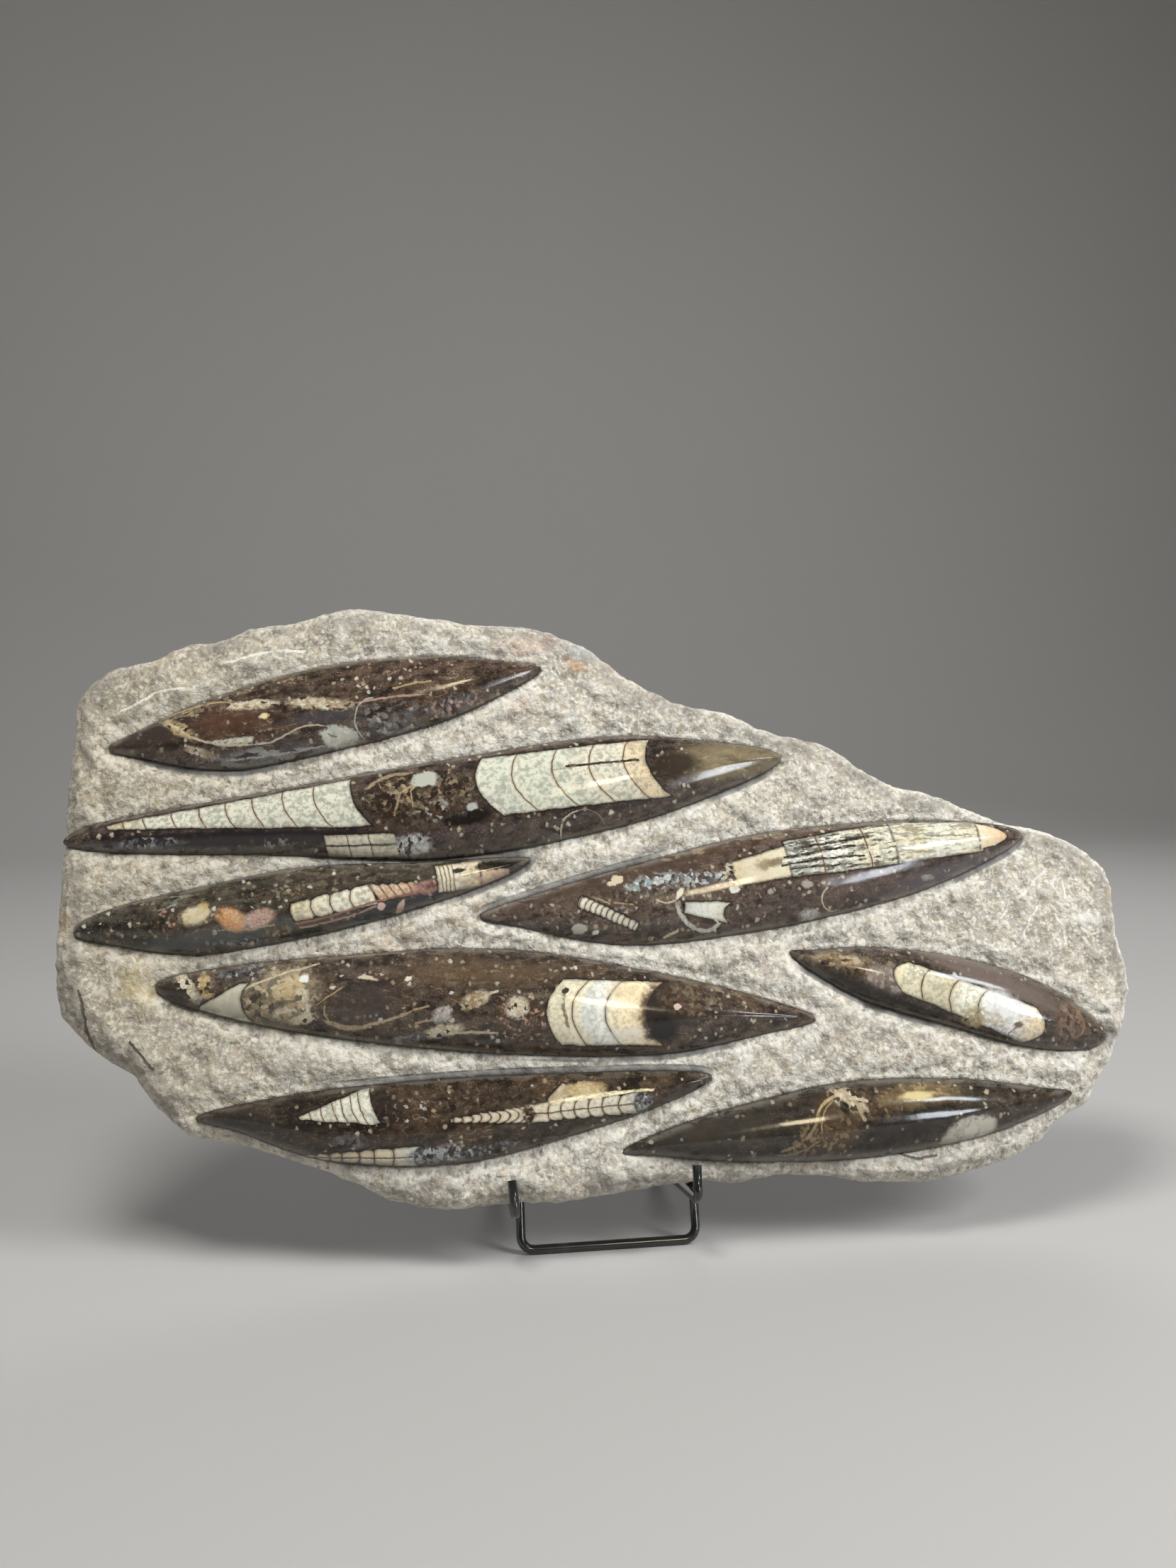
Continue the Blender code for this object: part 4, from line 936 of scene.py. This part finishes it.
def paintBottomRight():
    stone = PolishedStone("polished_bottom_right", 4, {
        "dark": (0.017, 0.015, 0.012), "mid": (0.046, 0.038, 0.029), "brown": (0.056, 0.041, 0.028),
        "fleck": (0.20, 0.16, 0.11), "grit": 0.4, "crumbs": 0.05, "threads": 0.3})
    dim = (0.22, 0.165, 0.095)
    stone.spot((56, 29), (34, 9), 4, (0.044, 0.038, 0.030), 0.7, 0.6)
    stone.spot((146, 26), (20, 8), 8, (0.016, 0.013, 0.011), 0.7, 0.6)
    stone.spot((112, 30), (12, 15), -14, (0.075, 0.050, 0.028), 0.8, 0.4)
    stone.rubble((106, 24), (18, 10), 20, 1.8, [(0, ink), (0.4, umber), (0.8, dim), (1, tan)], 0.85,
                 0.6)
    stone.rubble((132, 38), (18, 7), -6, 1.8, [(0, ink), (0.5, umber), (0.85, dim), (1, tan)], 0.8,
                 0.6)
    stone.arc((120, 43.6), (110, 40.6), (103.6, 34.5), 1.3, gold, 1)
    stone.arc((103.6, 34.8), (101, 27.6), (85, 18.3), 1.5, dim, 1)
    stone.arc((112, 40), (106.5, 34), (105, 26), 0.7, tan, 0.8)
    stone.arc((103, 22), (95, 17.5), (84, 16), 0.9, dim, 0.9)
    stone.rubble((120, 40.5), (9, 5), -30, 1.9, [(0, tan), (0.5, (0.44, 0.37, 0.25)), (1, ivory)],
                 1, 0.75)
    stone.stroke([(118, 44.5), (124, 38), (126.5, 31)], 1.8, (0.42, 0.34, 0.22), 0.95)
    stone.stroke([(121, 41), (129, 39.5)], 1.4, cream, 0.9)
    stone.spot((117.5, 36.5), (2.2, 4), 20, ink, 0.9, 0.3)
    stone.spot((157, 41), (19, 5.4), 4, (0.17, 0.125, 0.06), 0.75, 0.5)
    stone.rubble((157, 42), (20, 5), 4, 1.6, [(0, umber), (0.5, dim), (1, gold)], 0.7, 0.6, 0.4, 2)
    # Painted reflection: a yellow glint of a warm lamp on the upper flank.
    stone.spot((155.5, 40.6), (8.6, 2.1), 3, (0.66, 0.55, 0.27), 0.85, 0.4)
    stone.spot((182, 22), (15, 7), 12, (0.36, 0.34, 0.29), 1, 0.15)
    stone.rubble((182, 22), (14, 6.4), 12, 2.8, [(0, (0.20, 0.18, 0.15)), (0.4, (0.42, 0.39, 0.33)),
                 (1, ivory)], 0.9)
    stone.spot((190.5, 25), (4.4, 3.2), 0, (0.48, 0.45, 0.37), 0.9, 0.2)
    stone.spot((182.5, 22.5), (3.6, 3), 0, (0.52, 0.49, 0.41), 0.9, 0.2)
    return stone.finish()


# The eight polished shells, in millimetres.

shellMesh = {
    "rowSpacing": 1.6, "lanes": 27, "wall": 3.6, "baseDepth": 1.0,
    "rimFollow": 0.55,              # share of the rim's drop that a shell's base follows
    "waviness": 0.18, "waveSize": 16, "smoothAngle": 50,
}


def makeShell(name, shell):
    rows = round(shell.length / shellMesh["rowSpacing"])
    lanes = shellMesh["lanes"]
    deselectAll()
    bpy.ops.mesh.primitive_grid_add(x_subdivisions=rows, y_subdivisions=lanes - 1, size=2)
    piece = bpy.context.object
    piece.name = piece.data.name = "shell_" + name
    grid = coordinates(piece)
    angle = (grid[:, 0] + 1) / 2 * math.pi
    lane = np.sin(grid[:, 1] * math.pi / 2)
    place = shell.point(angle, lane)
    base = -shellMesh["baseDepth"] - shellMesh["rimFollow"] * rimDrop(rimDistance(place))
    ripple = noiseAt(place, shellMesh["waveSize"], 4.0) * shellMesh["waviness"] * (1 - np.abs(lane))
    setCoordinates(piece, np.column_stack([place, base + shell.dome(angle, lane) + ripple]))
    bpy.ops.object.mode_set(mode="EDIT")
    bpy.ops.mesh.select_all(action="SELECT")
    bpy.ops.mesh.remove_doubles(threshold=0.05)
    bpy.ops.mesh.select_mode(type="EDGE")
    bpy.ops.mesh.select_all(action="DESELECT")
    bpy.ops.mesh.select_non_manifold()
    bpy.ops.mesh.extrude_region_move(TRANSFORM_OT_translate={"value": (0, 0, -shellMesh["wall"])})
    bpy.ops.mesh.fill()
    bpy.ops.mesh.select_all(action="SELECT")
    bpy.ops.mesh.normals_make_consistent(inside=False)
    bpy.ops.object.mode_set(mode="OBJECT")
    bpy.ops.object.shade_smooth_by_angle(angle=math.radians(shellMesh["smoothAngle"]))
    storeField(piece, "within", shell.locate(coordinates(piece)[:, :2])[3])
    standUp(piece)
    return piece


painters = {
    "top_left": paintTopLeft, "long_upper": paintLongUpper, "left": paintLeft, "right": paintRight,
    "centre": paintCentre, "small_right": paintSmallRight, "bottom_left": paintBottomLeft,
    "bottom_right": paintBottomRight,
}
for shellName, paint in painters.items():
    shellPiece = makeShell(shellName, shells[shellName])
    shellPiece.data.materials.append(paint())
    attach(shellPiece, "root")
    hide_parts("slab")
    print("shell", shellName, len(shellPiece.data.polygons), "faces")


# The matrix is the chiselled limestone round the shells, in millimetres.

matrixShape = {
    "voxel": 1.4,
    "rimSteps": ((2.2, 4.6), (4.0, 3.2), (7.0, 1.2)),     # inset and rise of the blank's edge
    "sideSteps": ((8, 2), (7, 6)), "halfSize": (270, 150),   # drop and shrink below it
    "lump": (2.6, 22, 0.0), "chip": (2.2, 8, 0.05), "pit": (0.9, 2.8, 2.0),   # height, size, layer
    "peck": (1.0, 4.4), "peckWarp": (6, 2.5),             # height and size, size and amount
    "grooveDepth": 2.8, "grooveHalf": 3.6, "grooveWidth": 9,
    "calmest": 0.35,                 # share of the relief that is left beside a shell
    "pocket": 4.6, "pocketSlope": 2.4,                    # how far the face drops below a shell
    "front": (-12, -7), "back": (-21, -24), "sideBand": (9, 3), "middle": (13, 140),
    "sideRough": (1.4, 9), "sideFine": (0.5, 3.5), "sideSink": 0.75,
    "backHollow": 3.2, "backSize": 60,
    "backSkin": 0.8, "backKept": 0.10,                    # the back's share of triangles kept
}
# The hooks' runs under the plate, which its lower rim rests on.
seats = {"hookX": 43.2, "half": 12, "hookY": -4.3, "hookZ": (-2.7, -0.6), "rearY": 116,
         "wire": 2.25, "gap": 0.3, "below": 20}


def ramp01(value, start, end):
    t = np.clip((value - start) / (end - start), 0, 1)
    return t * t * (3 - 2 * t)


def pecks(points, size):
    # Shallow scoops left by the chisel, deepest at the middle of each cell.
    scoops = np.array([noise.voronoi(Vector((u / size, v / size, 0.4)))[0][:2] for u, v in points])
    return np.clip((scoops[:, 1] - scoops[:, 0]) * 1.3, 0, 1)


def restOnHooks(points):
    # Keep the lower rim on the flats where the plate rests on the hooks.
    lean = math.radians(plate["lean"])
    barZ = seats["wire"] - plate["origin"][2]
    for side, sign in ((0, -1), (1, 1)):
        slope = (barZ - seats["hookZ"][side]) / (seats["rearY"] - seats["hookY"])
        lift = seats["wire"] * math.hypot(1, slope) + seats["gap"]
        level = seats["hookZ"][side] - slope * seats["hookY"] + lift
        rise = math.sin(lean) + slope * math.cos(lean)
        flat = (level - points[:, 2] * rise) / (math.cos(lean) - slope * math.sin(lean))
        near = np.abs(points[:, 0] - sign * seats["hookX"]) < seats["half"]
        over = (points[:, 1] < seats["below"]) & near
        points[over, 1] = np.maximum(points[over, 1], flat[over])


def carveBlank():
    # A flat blank with the plate's outline and a bevelled rim.
    ring = outlineRing[::-1]
    deselectAll()
    bpy.ops.mesh.primitive_circle_add(vertices=len(ring), radius=200, fill_type="NGON")
    piece = bpy.context.object
    piece.name = piece.data.name = "matrix"
    order = np.argsort(np.arctan2(*coordinates(piece)[:, [1, 0]].T) % (2 * math.pi))
    placed = np.zeros((len(ring), 3))
    placed[order, :2] = ring
    placed[:, 2] = -plate["rimDepth"]
    setCoordinates(piece, placed)
    bpy.ops.object.mode_set(mode="EDIT")
    bpy.ops.mesh.select_all(action="SELECT")
    bpy.ops.mesh.normals_make_consistent(inside=False)
    for inset, rise in matrixShape["rimSteps"]:
        bpy.ops.mesh.inset(thickness=inset, depth=rise)
    bpy.ops.mesh.select_mode(type="EDGE")
    bpy.ops.mesh.select_all(action="DESELECT")
    bpy.ops.mesh.select_non_manifold()
    middle = Vector((*ring.mean(axis=0), 0))
    across, up = matrixShape["halfSize"]
    for drop, shrink in matrixShape["sideSteps"]:
        bpy.ops.mesh.extrude_region_move(TRANSFORM_OT_translate={"value": (0, 0, -drop)})
        size = (1 - shrink / across, 1 - shrink / up, 1)
        bpy.ops.transform.resize(value=size, center_override=middle)
    bpy.ops.mesh.edge_face_add()
    bpy.ops.mesh.select_all(action="SELECT")
    bpy.ops.mesh.normals_make_consistent(inside=False)
    bpy.ops.object.mode_set(mode="OBJECT")
    applyModifier(piece, "REMESH", mode="VOXEL", voxel_size=matrixShape["voxel"])
    return piece


def thinBack(piece):
    bpy.ops.object.mode_set(mode="EDIT")
    bpy.ops.mesh.select_mode(type="FACE")
    builder = bmesh.from_edit_mesh(piece.data)
    for face in builder.faces:
        face.select_set(face.calc_center_median().z < matrixShape["backSkin"] - plate["thickness"])
    bmesh.update_edit_mesh(piece.data)
    bpy.ops.mesh.decimate(ratio=matrixShape["backKept"])
    bpy.ops.object.mode_set(mode="OBJECT")


def chiselFace(piece):
    shape = matrixShape
    points = coordinates(piece)
    flat = points[:, :2]
    rim = rimDistance(flat)
    outside = np.full(len(points), 1e3)
    inside = np.zeros(len(points))
    for shell in shells.values():
        _, _, away, within = shell.locate(flat)
        outside, inside = np.minimum(outside, away), np.maximum(inside, within)
    front = ramp01(points[:, 2], *shape["front"])
    width = shape["grooveWidth"]
    groove = shape["grooveDepth"] * np.clip(1 - np.abs(outside - shape["grooveHalf"]) / width, 0, 1)
    calm = np.clip(outside / width, 0, 1)
    relief = np.zeros(len(points))
    for key in ("lump", "chip", "pit"):
        height, size, layer = shape[key]
        relief += height * noiseAt(flat, size, layer)
    warpSize, warp = shape["peckWarp"]
    warped = flat + np.column_stack([noiseAt(flat, warpSize, layer) for layer in (7.0, 9.0)]) * warp
    height, size = shape["peck"]
    fresh = height * (0.45 - pecks(warped, size))
    quiet = shape["calmest"] + (1 - shape["calmest"]) * calm
    lift = relief * quiet + fresh * ramp01(outside, 0.4, 3.0) - groove * (1 - calm)
    lift -= shape["pocket"] * np.clip(inside / shape["pocketSlope"], 0, 1)
    points[:, 2] += lift * front
    side = ramp01(rim, *shape["sideBand"]) * (1 - front * 0.5)
    rough, size = shape["sideRough"]
    share, fine = shape["sideFine"]
    away = flat - np.array(shape["middle"])
    away /= np.linalg.norm(away, axis=1)[:, None]
    chips = np.array([noise.noise(Vector(p) / size) + share * noise.noise(Vector(p) / fine)
                      for p in points])
    points[:, :2] += away * (side * rough * (chips - shape["sideSink"]))[:, None]
    back = ramp01(points[:, 2], *shape["back"])
    hollow = shape["backHollow"] * np.clip(noiseAt(flat, shape["backSize"], 3.0) - 0.05, 0, 1)
    points[:, 2] = np.maximum(points[:, 2] + hollow * back, -plate["thickness"])
    restOnHooks(points)
    setCoordinates(piece, points)
    storeField(piece, "moat", outside)
    storeField(piece, "rim", rim)
    storeField(piece, "proud", relief * 0.25 + fresh)


matrixColors = {
    "shadow": (0.160, 0.142, 0.116), "ground": (0.355, 0.330, 0.278), "warm": (0.44, 0.392, 0.312),
    "dull": (0.27, 0.250, 0.210), "lilac": (0.42, 0.370, 0.375), "mossy": (0.29, 0.295, 0.225),
    "grain": (0.54, 0.515, 0.435), "fresh": (0.72, 0.70, 0.625), "honey": (0.60, 0.47, 0.31),
    "cove": (0.20, 0.195, 0.183), "rimStone": (0.235, 0.215, 0.185), "paintedShadeLeft": (0.76, 0.72, 0.64),
    "side": (0.26, 0.24, 0.205), "sidePale": (0.40, 0.37, 0.32), "sideDark": (0.16, 0.14, 0.115),
    # smooth grey cuts in the grooves beside the shells, darker partly as painted shade: centre, radii,
    # turn
    "coves": [((-15, 157), (55, 13), 14), ((222, 156), (34, 16), 20), ((-60, 62), (70, 5), 0),
              ((135, 88), (45, 10), -24), ((-190, 212), (40, 10), 0), ((60, 205), (40, 14), 0),
              ((30, 60), (40, 12), 14), ((-60, 160), (30, 10), 20)],
    # centre, radii, turn, color, strength
    "stains": [
        ((-3, 267), (7, 4), -20, (0.50, 0.24, 0.08), 0.9),
        ((-30, 277), (18, 7), 10, (0.52, 0.33, 0.24), 0.55),
        ((-33, 246), (7, 7), 0, (0.52, 0.34, 0.26), 0.6),
        ((1, 275), (11, 6), 0, (0.30, 0.32, 0.34), 0.8),
        ((-96, 126), (16, 6), 10, (0.55, 0.36, 0.20), 0.45),
        ((-62, 140), (12, 5), 30, (0.52, 0.34, 0.20), 0.5),
        ((-216, 109), (8, 12), 20, (0.56, 0.46, 0.22), 0.7),
        ((-252, 140), (4, 7), 0, (0.40, 0.26, 0.14), 0.8),
        ((280, 137), (4, 8), 0, (0.58, 0.42, 0.16), 0.7),
        ((262, 126), (6, 4), 0, (0.82, 0.81, 0.76), 1.0),
        ((247, 137), (8, 5), -20, (0.70, 0.64, 0.58), 0.6),
        ((105, 13), (12, 5), 0, (0.46, 0.33, 0.16), 0.5),
        ((20, 262), (12, 4), -30, (0.45, 0.36, 0.24), 0.4),
    ],
    "veins": [
        ((224.5, 137), (233, 144), (242, 152)), ((242, 146), (247, 139), (252, 133)),
        ((245, 128.5), (248, 121), (249, 113)), ((236, 133), (230, 126), (226, 118)),
        ((252, 146), (251, 137)), ((258, 121), (263, 118), (268, 119)), ((214, 127), (219, 132)),
        ((-182, 268), (-160, 274), (-141, 276)), ((-230, 243), (-214, 252), (-200, 255)),
    ],
    "cracks": [((-242.5, 107), (-239, 90.5), (-233.5, 74.5)), ((-218.5, 81.5), (-208.5, 70)),
               ((145, 14), (155, 10.5), (165, 11.5))],
    "cutWidth": 0.9,
}


def paintMatrix():
    colors = matrixColors
    stone = Finish("chiselled_limestone", Roughness=0.85, IOR=1.5)
    place = stone.plateSpace()
    where = stone.wobble(stone.wobble(place, 9.0, 1.6), 1.4, 0.5)
    fields = {name: stone.number("ShaderNodeAttribute", {"attribute_name": name}, {}, "Fac")
              for name in ("moat", "rim", "proud")}
    moat, rim, proud = fields["moat"], fields["rim"], fields["proud"]
    broad = stone.grain(place, 26, 3.0, 0.55)
    patch = stone.grain(place, 8.0, 4.0, 0.6)
    rice = stone.grain(where, 2.6, 3.0, 0.6)
    fine = stone.grain(where, 0.9, 2.0, 0.6)
    cells = stone.node("ShaderNodeTexVoronoi", {"feature": "F1"}, {
        "Vector": where, "Scale": 1 / 2.5, "Randomness": 1.0})
    core = Value(stone, cells.outputs["Distance"]) + (fine - 0.5) * 0.7
    shade, hue = [Value(stone, output) for output in
                  stone.node("ShaderNodeSeparateColor", {}, {0: cells.outputs["Color"]}).outputs[:2]]
    scratches = highest([
        stone.grain(stone.local(where, (turn, 0), turn, (5.5, 1)), size, 1.5, 0.5).fade(0.585, 0.66)
        for turn, size in ((58, 1.9), (-62, 2.3), (18, 2.6))])
    tint = stone.grain(where, 4.5, 4.0, 0.65)
    bright = moat.fade(14, 3) * broad.fade(0.26, 0.52) * (rice * 0.6 + shade * 0.4).fade(0.36, 0.60)
    u, _, w = stone.split(place)
    bevel = rim.fade(16, 9) * patch.fade(0.32, 0.52) * broad.fade(0.62, 0.42)
    # Painted highlight: a pale band along the rim's edge, stronger towards the right, where the light
    # falls.
    edge = rim.fade(5.0, 2.0) * rice.fade(0.36, 0.52) * (u.fade(120, 250) * 0.6 + 0.25)
    color = stone.layers(
        colors["ground"],
        (broad.fade(0.40, 0.60), colors["warm"]),
        (patch.fade(0.45, 0.62) * 0.5, colors["dull"]),
        (patch.fade(0.46, 0.34) * 0.5, colors["lilac"]),
        (hue.fade(0.6, 1.0) * 0.5, colors["mossy"]),
        (rice.fade(0.51, 0.62) * 0.8, colors["grain"]),
        (rice.fade(0.44, 0.32) * 0.5, colors["shadow"]),
        (core.fade(0.50, 0.36) * shade.fade(0.50, 0.62) * 0.65, colors["fresh"]),
        (core.fade(0.42, 0.28) * shade.fade(0.16, 0.10) * 0.55, colors["shadow"]),
        ((rice * 0.7 + fine * 0.3).fade(0.57, 0.65) * 0.85, colors["fresh"]),
        (scratches * broad.fade(0.36, 0.56) * 0.5, colors["fresh"]),
        (bright * 0.75, colors["fresh"]),
        # Painted light from the chiselled relief: raised points are paler (painted highlight) and
        # hollows darker (painted shade).
        (proud.fade(0.1, 0.9) * 0.40, colors["fresh"]),
        (proud.fade(-0.2, -1.0) * 0.35, colors["shadow"]),
        (tint.fade(0.50, 0.64) * 0.5, colors["honey"], 0.55),
        (tint.fade(0.46, 0.34) * 0.5, colors["lilac"], 0.5))
    # Painted shade: the stone is darkened towards the left, away from the light on the right.
    color = stone.mix(u.fade(-40, -260) * 0.75, color, colors["paintedShadeLeft"], "MULTIPLY")
    color = stone.layers(color, (bevel * 0.65, colors["rimStone"]), (edge, colors["fresh"]))
    flatPlace = stone.vector("MULTIPLY", where, (1, 1, 0))
    smoothCut = highest([stone.reach(stone.local(flatPlace, at, turn, radii)).fade(1.15, 0.8)
                         for at, radii, turn in colors["coves"]])
    # The smooth grey cuts: a smooth cut, painted darker in the grooves beside the shells, partly as
    # painted shade.
    cove = moat.fade(3.4, 2.2) * smoothCut
    color = stone.mix(cove * (patch * 0.8 + 0.45), color, colors["cove"])
    for at, radii, turn, tint, strength in colors["stains"]:
        near = stone.reach(stone.local(flatPlace, at, turn, radii)).fade(1.5, 0.3)
        color = stone.layers(color, (near * patch.fade(0.3, 0.6) * strength, tint, 0.65))
    for kind, tint in (("veins", colors["fresh"]), ("cracks", (0.06, 0.05, 0.04))):
        near = lowest([stone.strokeDistance(flatPlace, start, end)
                       for points in colors[kind] for start, end in zip(points, points[1:])])
        cuts = near.fade(colors["cutWidth"], colors["cutWidth"] * 0.4)
        color = stone.mix(cuts * 0.8, color, tint)
    sideColor = stone.layers(colors["side"], (patch.fade(0.38, 0.66), colors["sidePale"]),
                             (rice.fade(0.46, 0.62) * 0.5, colors["sideDark"]))
    color = stone.mix(w.fade(-8, -13), color, sideColor)
    height = rice * 1.3 + fine * 0.35 - core * 0.3 - cuts * 0.8
    height = height * (1 - cove * 0.85) + patch * 1.6
    return stone.complete(color, 0.9 - rice * 0.25 - cove * 0.15, 0.9, 0.8, height)


def makeMatrix():
    piece = carveBlank()
    thinBack(piece)
    chiselFace(piece)
    standUp(piece)
    piece.data.materials.append(paintMatrix())
    deselectAll()
    piece.select_set(True)
    bpy.context.view_layer.objects.active = piece
    bpy.ops.object.shade_smooth()
    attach(piece, "root")
    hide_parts("slab")
    triangles = sum(len(face.vertices) - 2 for face in piece.data.polygons)
    print("matrix", triangles, "triangles")


makeMatrix()


# The wire stand.

standPaint = {"black": (0.012, 0.012, 0.013), "worn": (0.045, 0.043, 0.040),
              "dust": (0.11, 0.10, 0.09)}


def makeStand():
    deselectAll()
    source = bpy.data.objects["wire_stand"]
    piece = bpy.data.objects.new("stand", source.data.copy())
    bpy.context.scene.collection.objects.link(piece)
    piece.select_set(True)
    bpy.context.view_layer.objects.active = piece
    bpy.ops.object.mode_set(mode="EDIT")
    bpy.ops.mesh.select_all(action="SELECT")
    bpy.ops.mesh.remove_doubles(threshold=0.00001)
    bpy.ops.object.mode_set(mode="OBJECT")
    bpy.ops.object.shade_smooth_by_angle(angle=math.radians(50))
    piece.data.materials.clear()
    piece.data.materials.append(paintStand())
    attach(piece, "root")
    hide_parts("wire_stand")
    print("stand", len(piece.data.polygons), "faces")


def paintStand():
    paint = Finish("black_paint", Roughness=0.22, IOR=1.5, Coat_Weight=0.7, Coat_Roughness=0.06)
    place = paint.millimetres()
    cloud = paint.grain(place, 14, 4.0, 0.6)
    fine = paint.grain(place, 0.9, 2.0, 0.6)
    color = paint.layers(standPaint["black"], (cloud.fade(0.52, 0.72) * 0.6, standPaint["worn"]),
                         (paint.specks(place, 2.6, 0.10, 0.14) * 0.6, standPaint["dust"]))
    height = fine * 0.3 + paint.grain(place, 3.5, 2.0)
    return paint.complete(color, cloud * 0.28 + 0.10, 0.5, 0.25, height)


makeStand()


# Floor, lights and camera, in metres.

studio = {
    "floorColor": (0.47, 0.46, 0.445), "floorHalf": 2.6, "wallY": 1.9, "wallHeight": 2.6,
    "cornerRadius": 0.7, "cornerSteps": 14,
    "world": (0.86, 0.90, 0.95), "worldStrength": 0.20,
    # direction from the plate, distance, width, height, power, color and what the light adds
    "lights": {
        "window_right": ((0.72, -0.45, 0.53), 1.35, 0.40, 0.56, 18, (0.97, 0.98, 1.0), "shading"),
        "window_low": ((0.573, -0.816, 0.075), 1.2, 0.15, 0.24, 2.2, (0.86, 0.92, 1.0), "reflection"),
        "window_high": ((0.600, -0.500, 0.625), 1.2, 0.22, 0.14, 2.0, (0.90, 0.95, 1.0), "reflection"),
        "lamp_front": ((0.230, -0.853, 0.469), 1.5, 0.16, 0.24, 2.9, (1.0, 0.86, 0.58), "reflection"),
        "fill_left": ((-0.75, -0.55, 0.42), 1.8, 0.9, 0.7, 2.4, (0.95, 0.97, 1.0), "shading"),
        "back_soft": ((0.35, 0.80, 0.62), 1.3, 0.9, 0.6, 4.5, (0.95, 0.97, 1.0), "shading"),
        "top_soft": ((-0.25, -0.30, 0.92), 1.3, 0.5, 0.4, 13, (1.0, 0.99, 0.97), "shading"),
    },
    "target": (0.0, 0.0, 0.16),
}


def selectEdges(piece, chosen):
    builder = bmesh.from_edit_mesh(piece.data)
    for edge in builder.edges:
        edge.select_set(all(chosen(vert.co) for vert in edge.verts))
    bmesh.update_edit_mesh(piece.data)


def makeFloor():
    deselectAll()
    half, wallY = studio["floorHalf"], studio["wallY"]
    bpy.ops.mesh.primitive_plane_add(size=2 * half, location=(0, wallY - half, 0))
    floor = bpy.context.object
    floor.name = "floor"
    bpy.ops.object.transform_apply(location=True, rotation=False, scale=False)
    bpy.ops.object.mode_set(mode="EDIT")
    selectEdges(floor, lambda place: abs(place.y - wallY) < 1e-4)
    bpy.ops.mesh.extrude_region_move(TRANSFORM_OT_translate={"value": (0, 0, studio["wallHeight"])})
    selectEdges(floor, lambda place: abs(place.y - wallY) < 1e-4 and abs(place.z) < 1e-4)
    bpy.ops.mesh.bevel(offset=studio["cornerRadius"], segments=studio["cornerSteps"])
    bpy.ops.object.mode_set(mode="OBJECT")
    bpy.ops.object.shade_smooth()
    finish = Finish("pale_floor", Roughness=0.7)
    place = finish.node("ShaderNodeTexCoord", {}, {}).outputs["Object"]
    cloud = finish.grain(place, 0.4, 2.0)
    paler = tuple(c * 1.05 for c in studio["floorColor"])
    finish.feed(finish.shader.inputs["Base Color"], finish.mix(cloud, studio["floorColor"], paler))
    floor.data.materials.append(finish.material)


def makeLights():
    world = bpy.data.worlds.new("studio")
    world.use_nodes = True
    background = world.node_tree.nodes["Background"]
    background.inputs["Color"].default_value = (*studio["world"], 1)
    background.inputs["Strength"].default_value = studio["worldStrength"]
    bpy.context.scene.world = world
    target = Vector(studio["target"])
    for name, (direction, distance, width, height, power, color, part) in studio["lights"].items():
        lamp = bpy.data.lights.new(name, "AREA")
        lamp.shape, lamp.size, lamp.size_y = "RECTANGLE", width, height
        lamp.energy, lamp.color = power, color
        light = bpy.data.objects.new(name, lamp)
        bpy.context.scene.collection.objects.link(light)
        away = Vector(direction).normalized()
        light.location = target + away * distance
        light.rotation_euler = away.to_track_quat("Z", "Y").to_euler()
        light.visible_glossy = part == "reflection"
        light.visible_diffuse = part == "shading"


cameraSetup = {"location": (-0.0993, -0.6032, 0.2881), "pitch": 6, "turn": 8, "lens": 28,
               "sensor": 36, "clipStart": 0.01}


def makeCamera():
    camera = bpy.data.objects.new("camera", bpy.data.cameras.new("camera"))
    bpy.context.scene.collection.objects.link(camera)
    camera.location = cameraSetup["location"]
    tilt, turn = math.radians(90 - cameraSetup["pitch"]), math.radians(cameraSetup["turn"])
    camera.rotation_euler = (tilt, 0, -turn)
    camera.data.lens, camera.data.sensor_width = cameraSetup["lens"], cameraSetup["sensor"]
    camera.data.clip_start = cameraSetup["clipStart"]
    bpy.context.scene.camera = camera


makeFloor()
makeLights()
makeCamera()
bpy.context.scene.view_settings.view_transform = "Standard"
print("floor, lights and camera placed")

deselectAll()
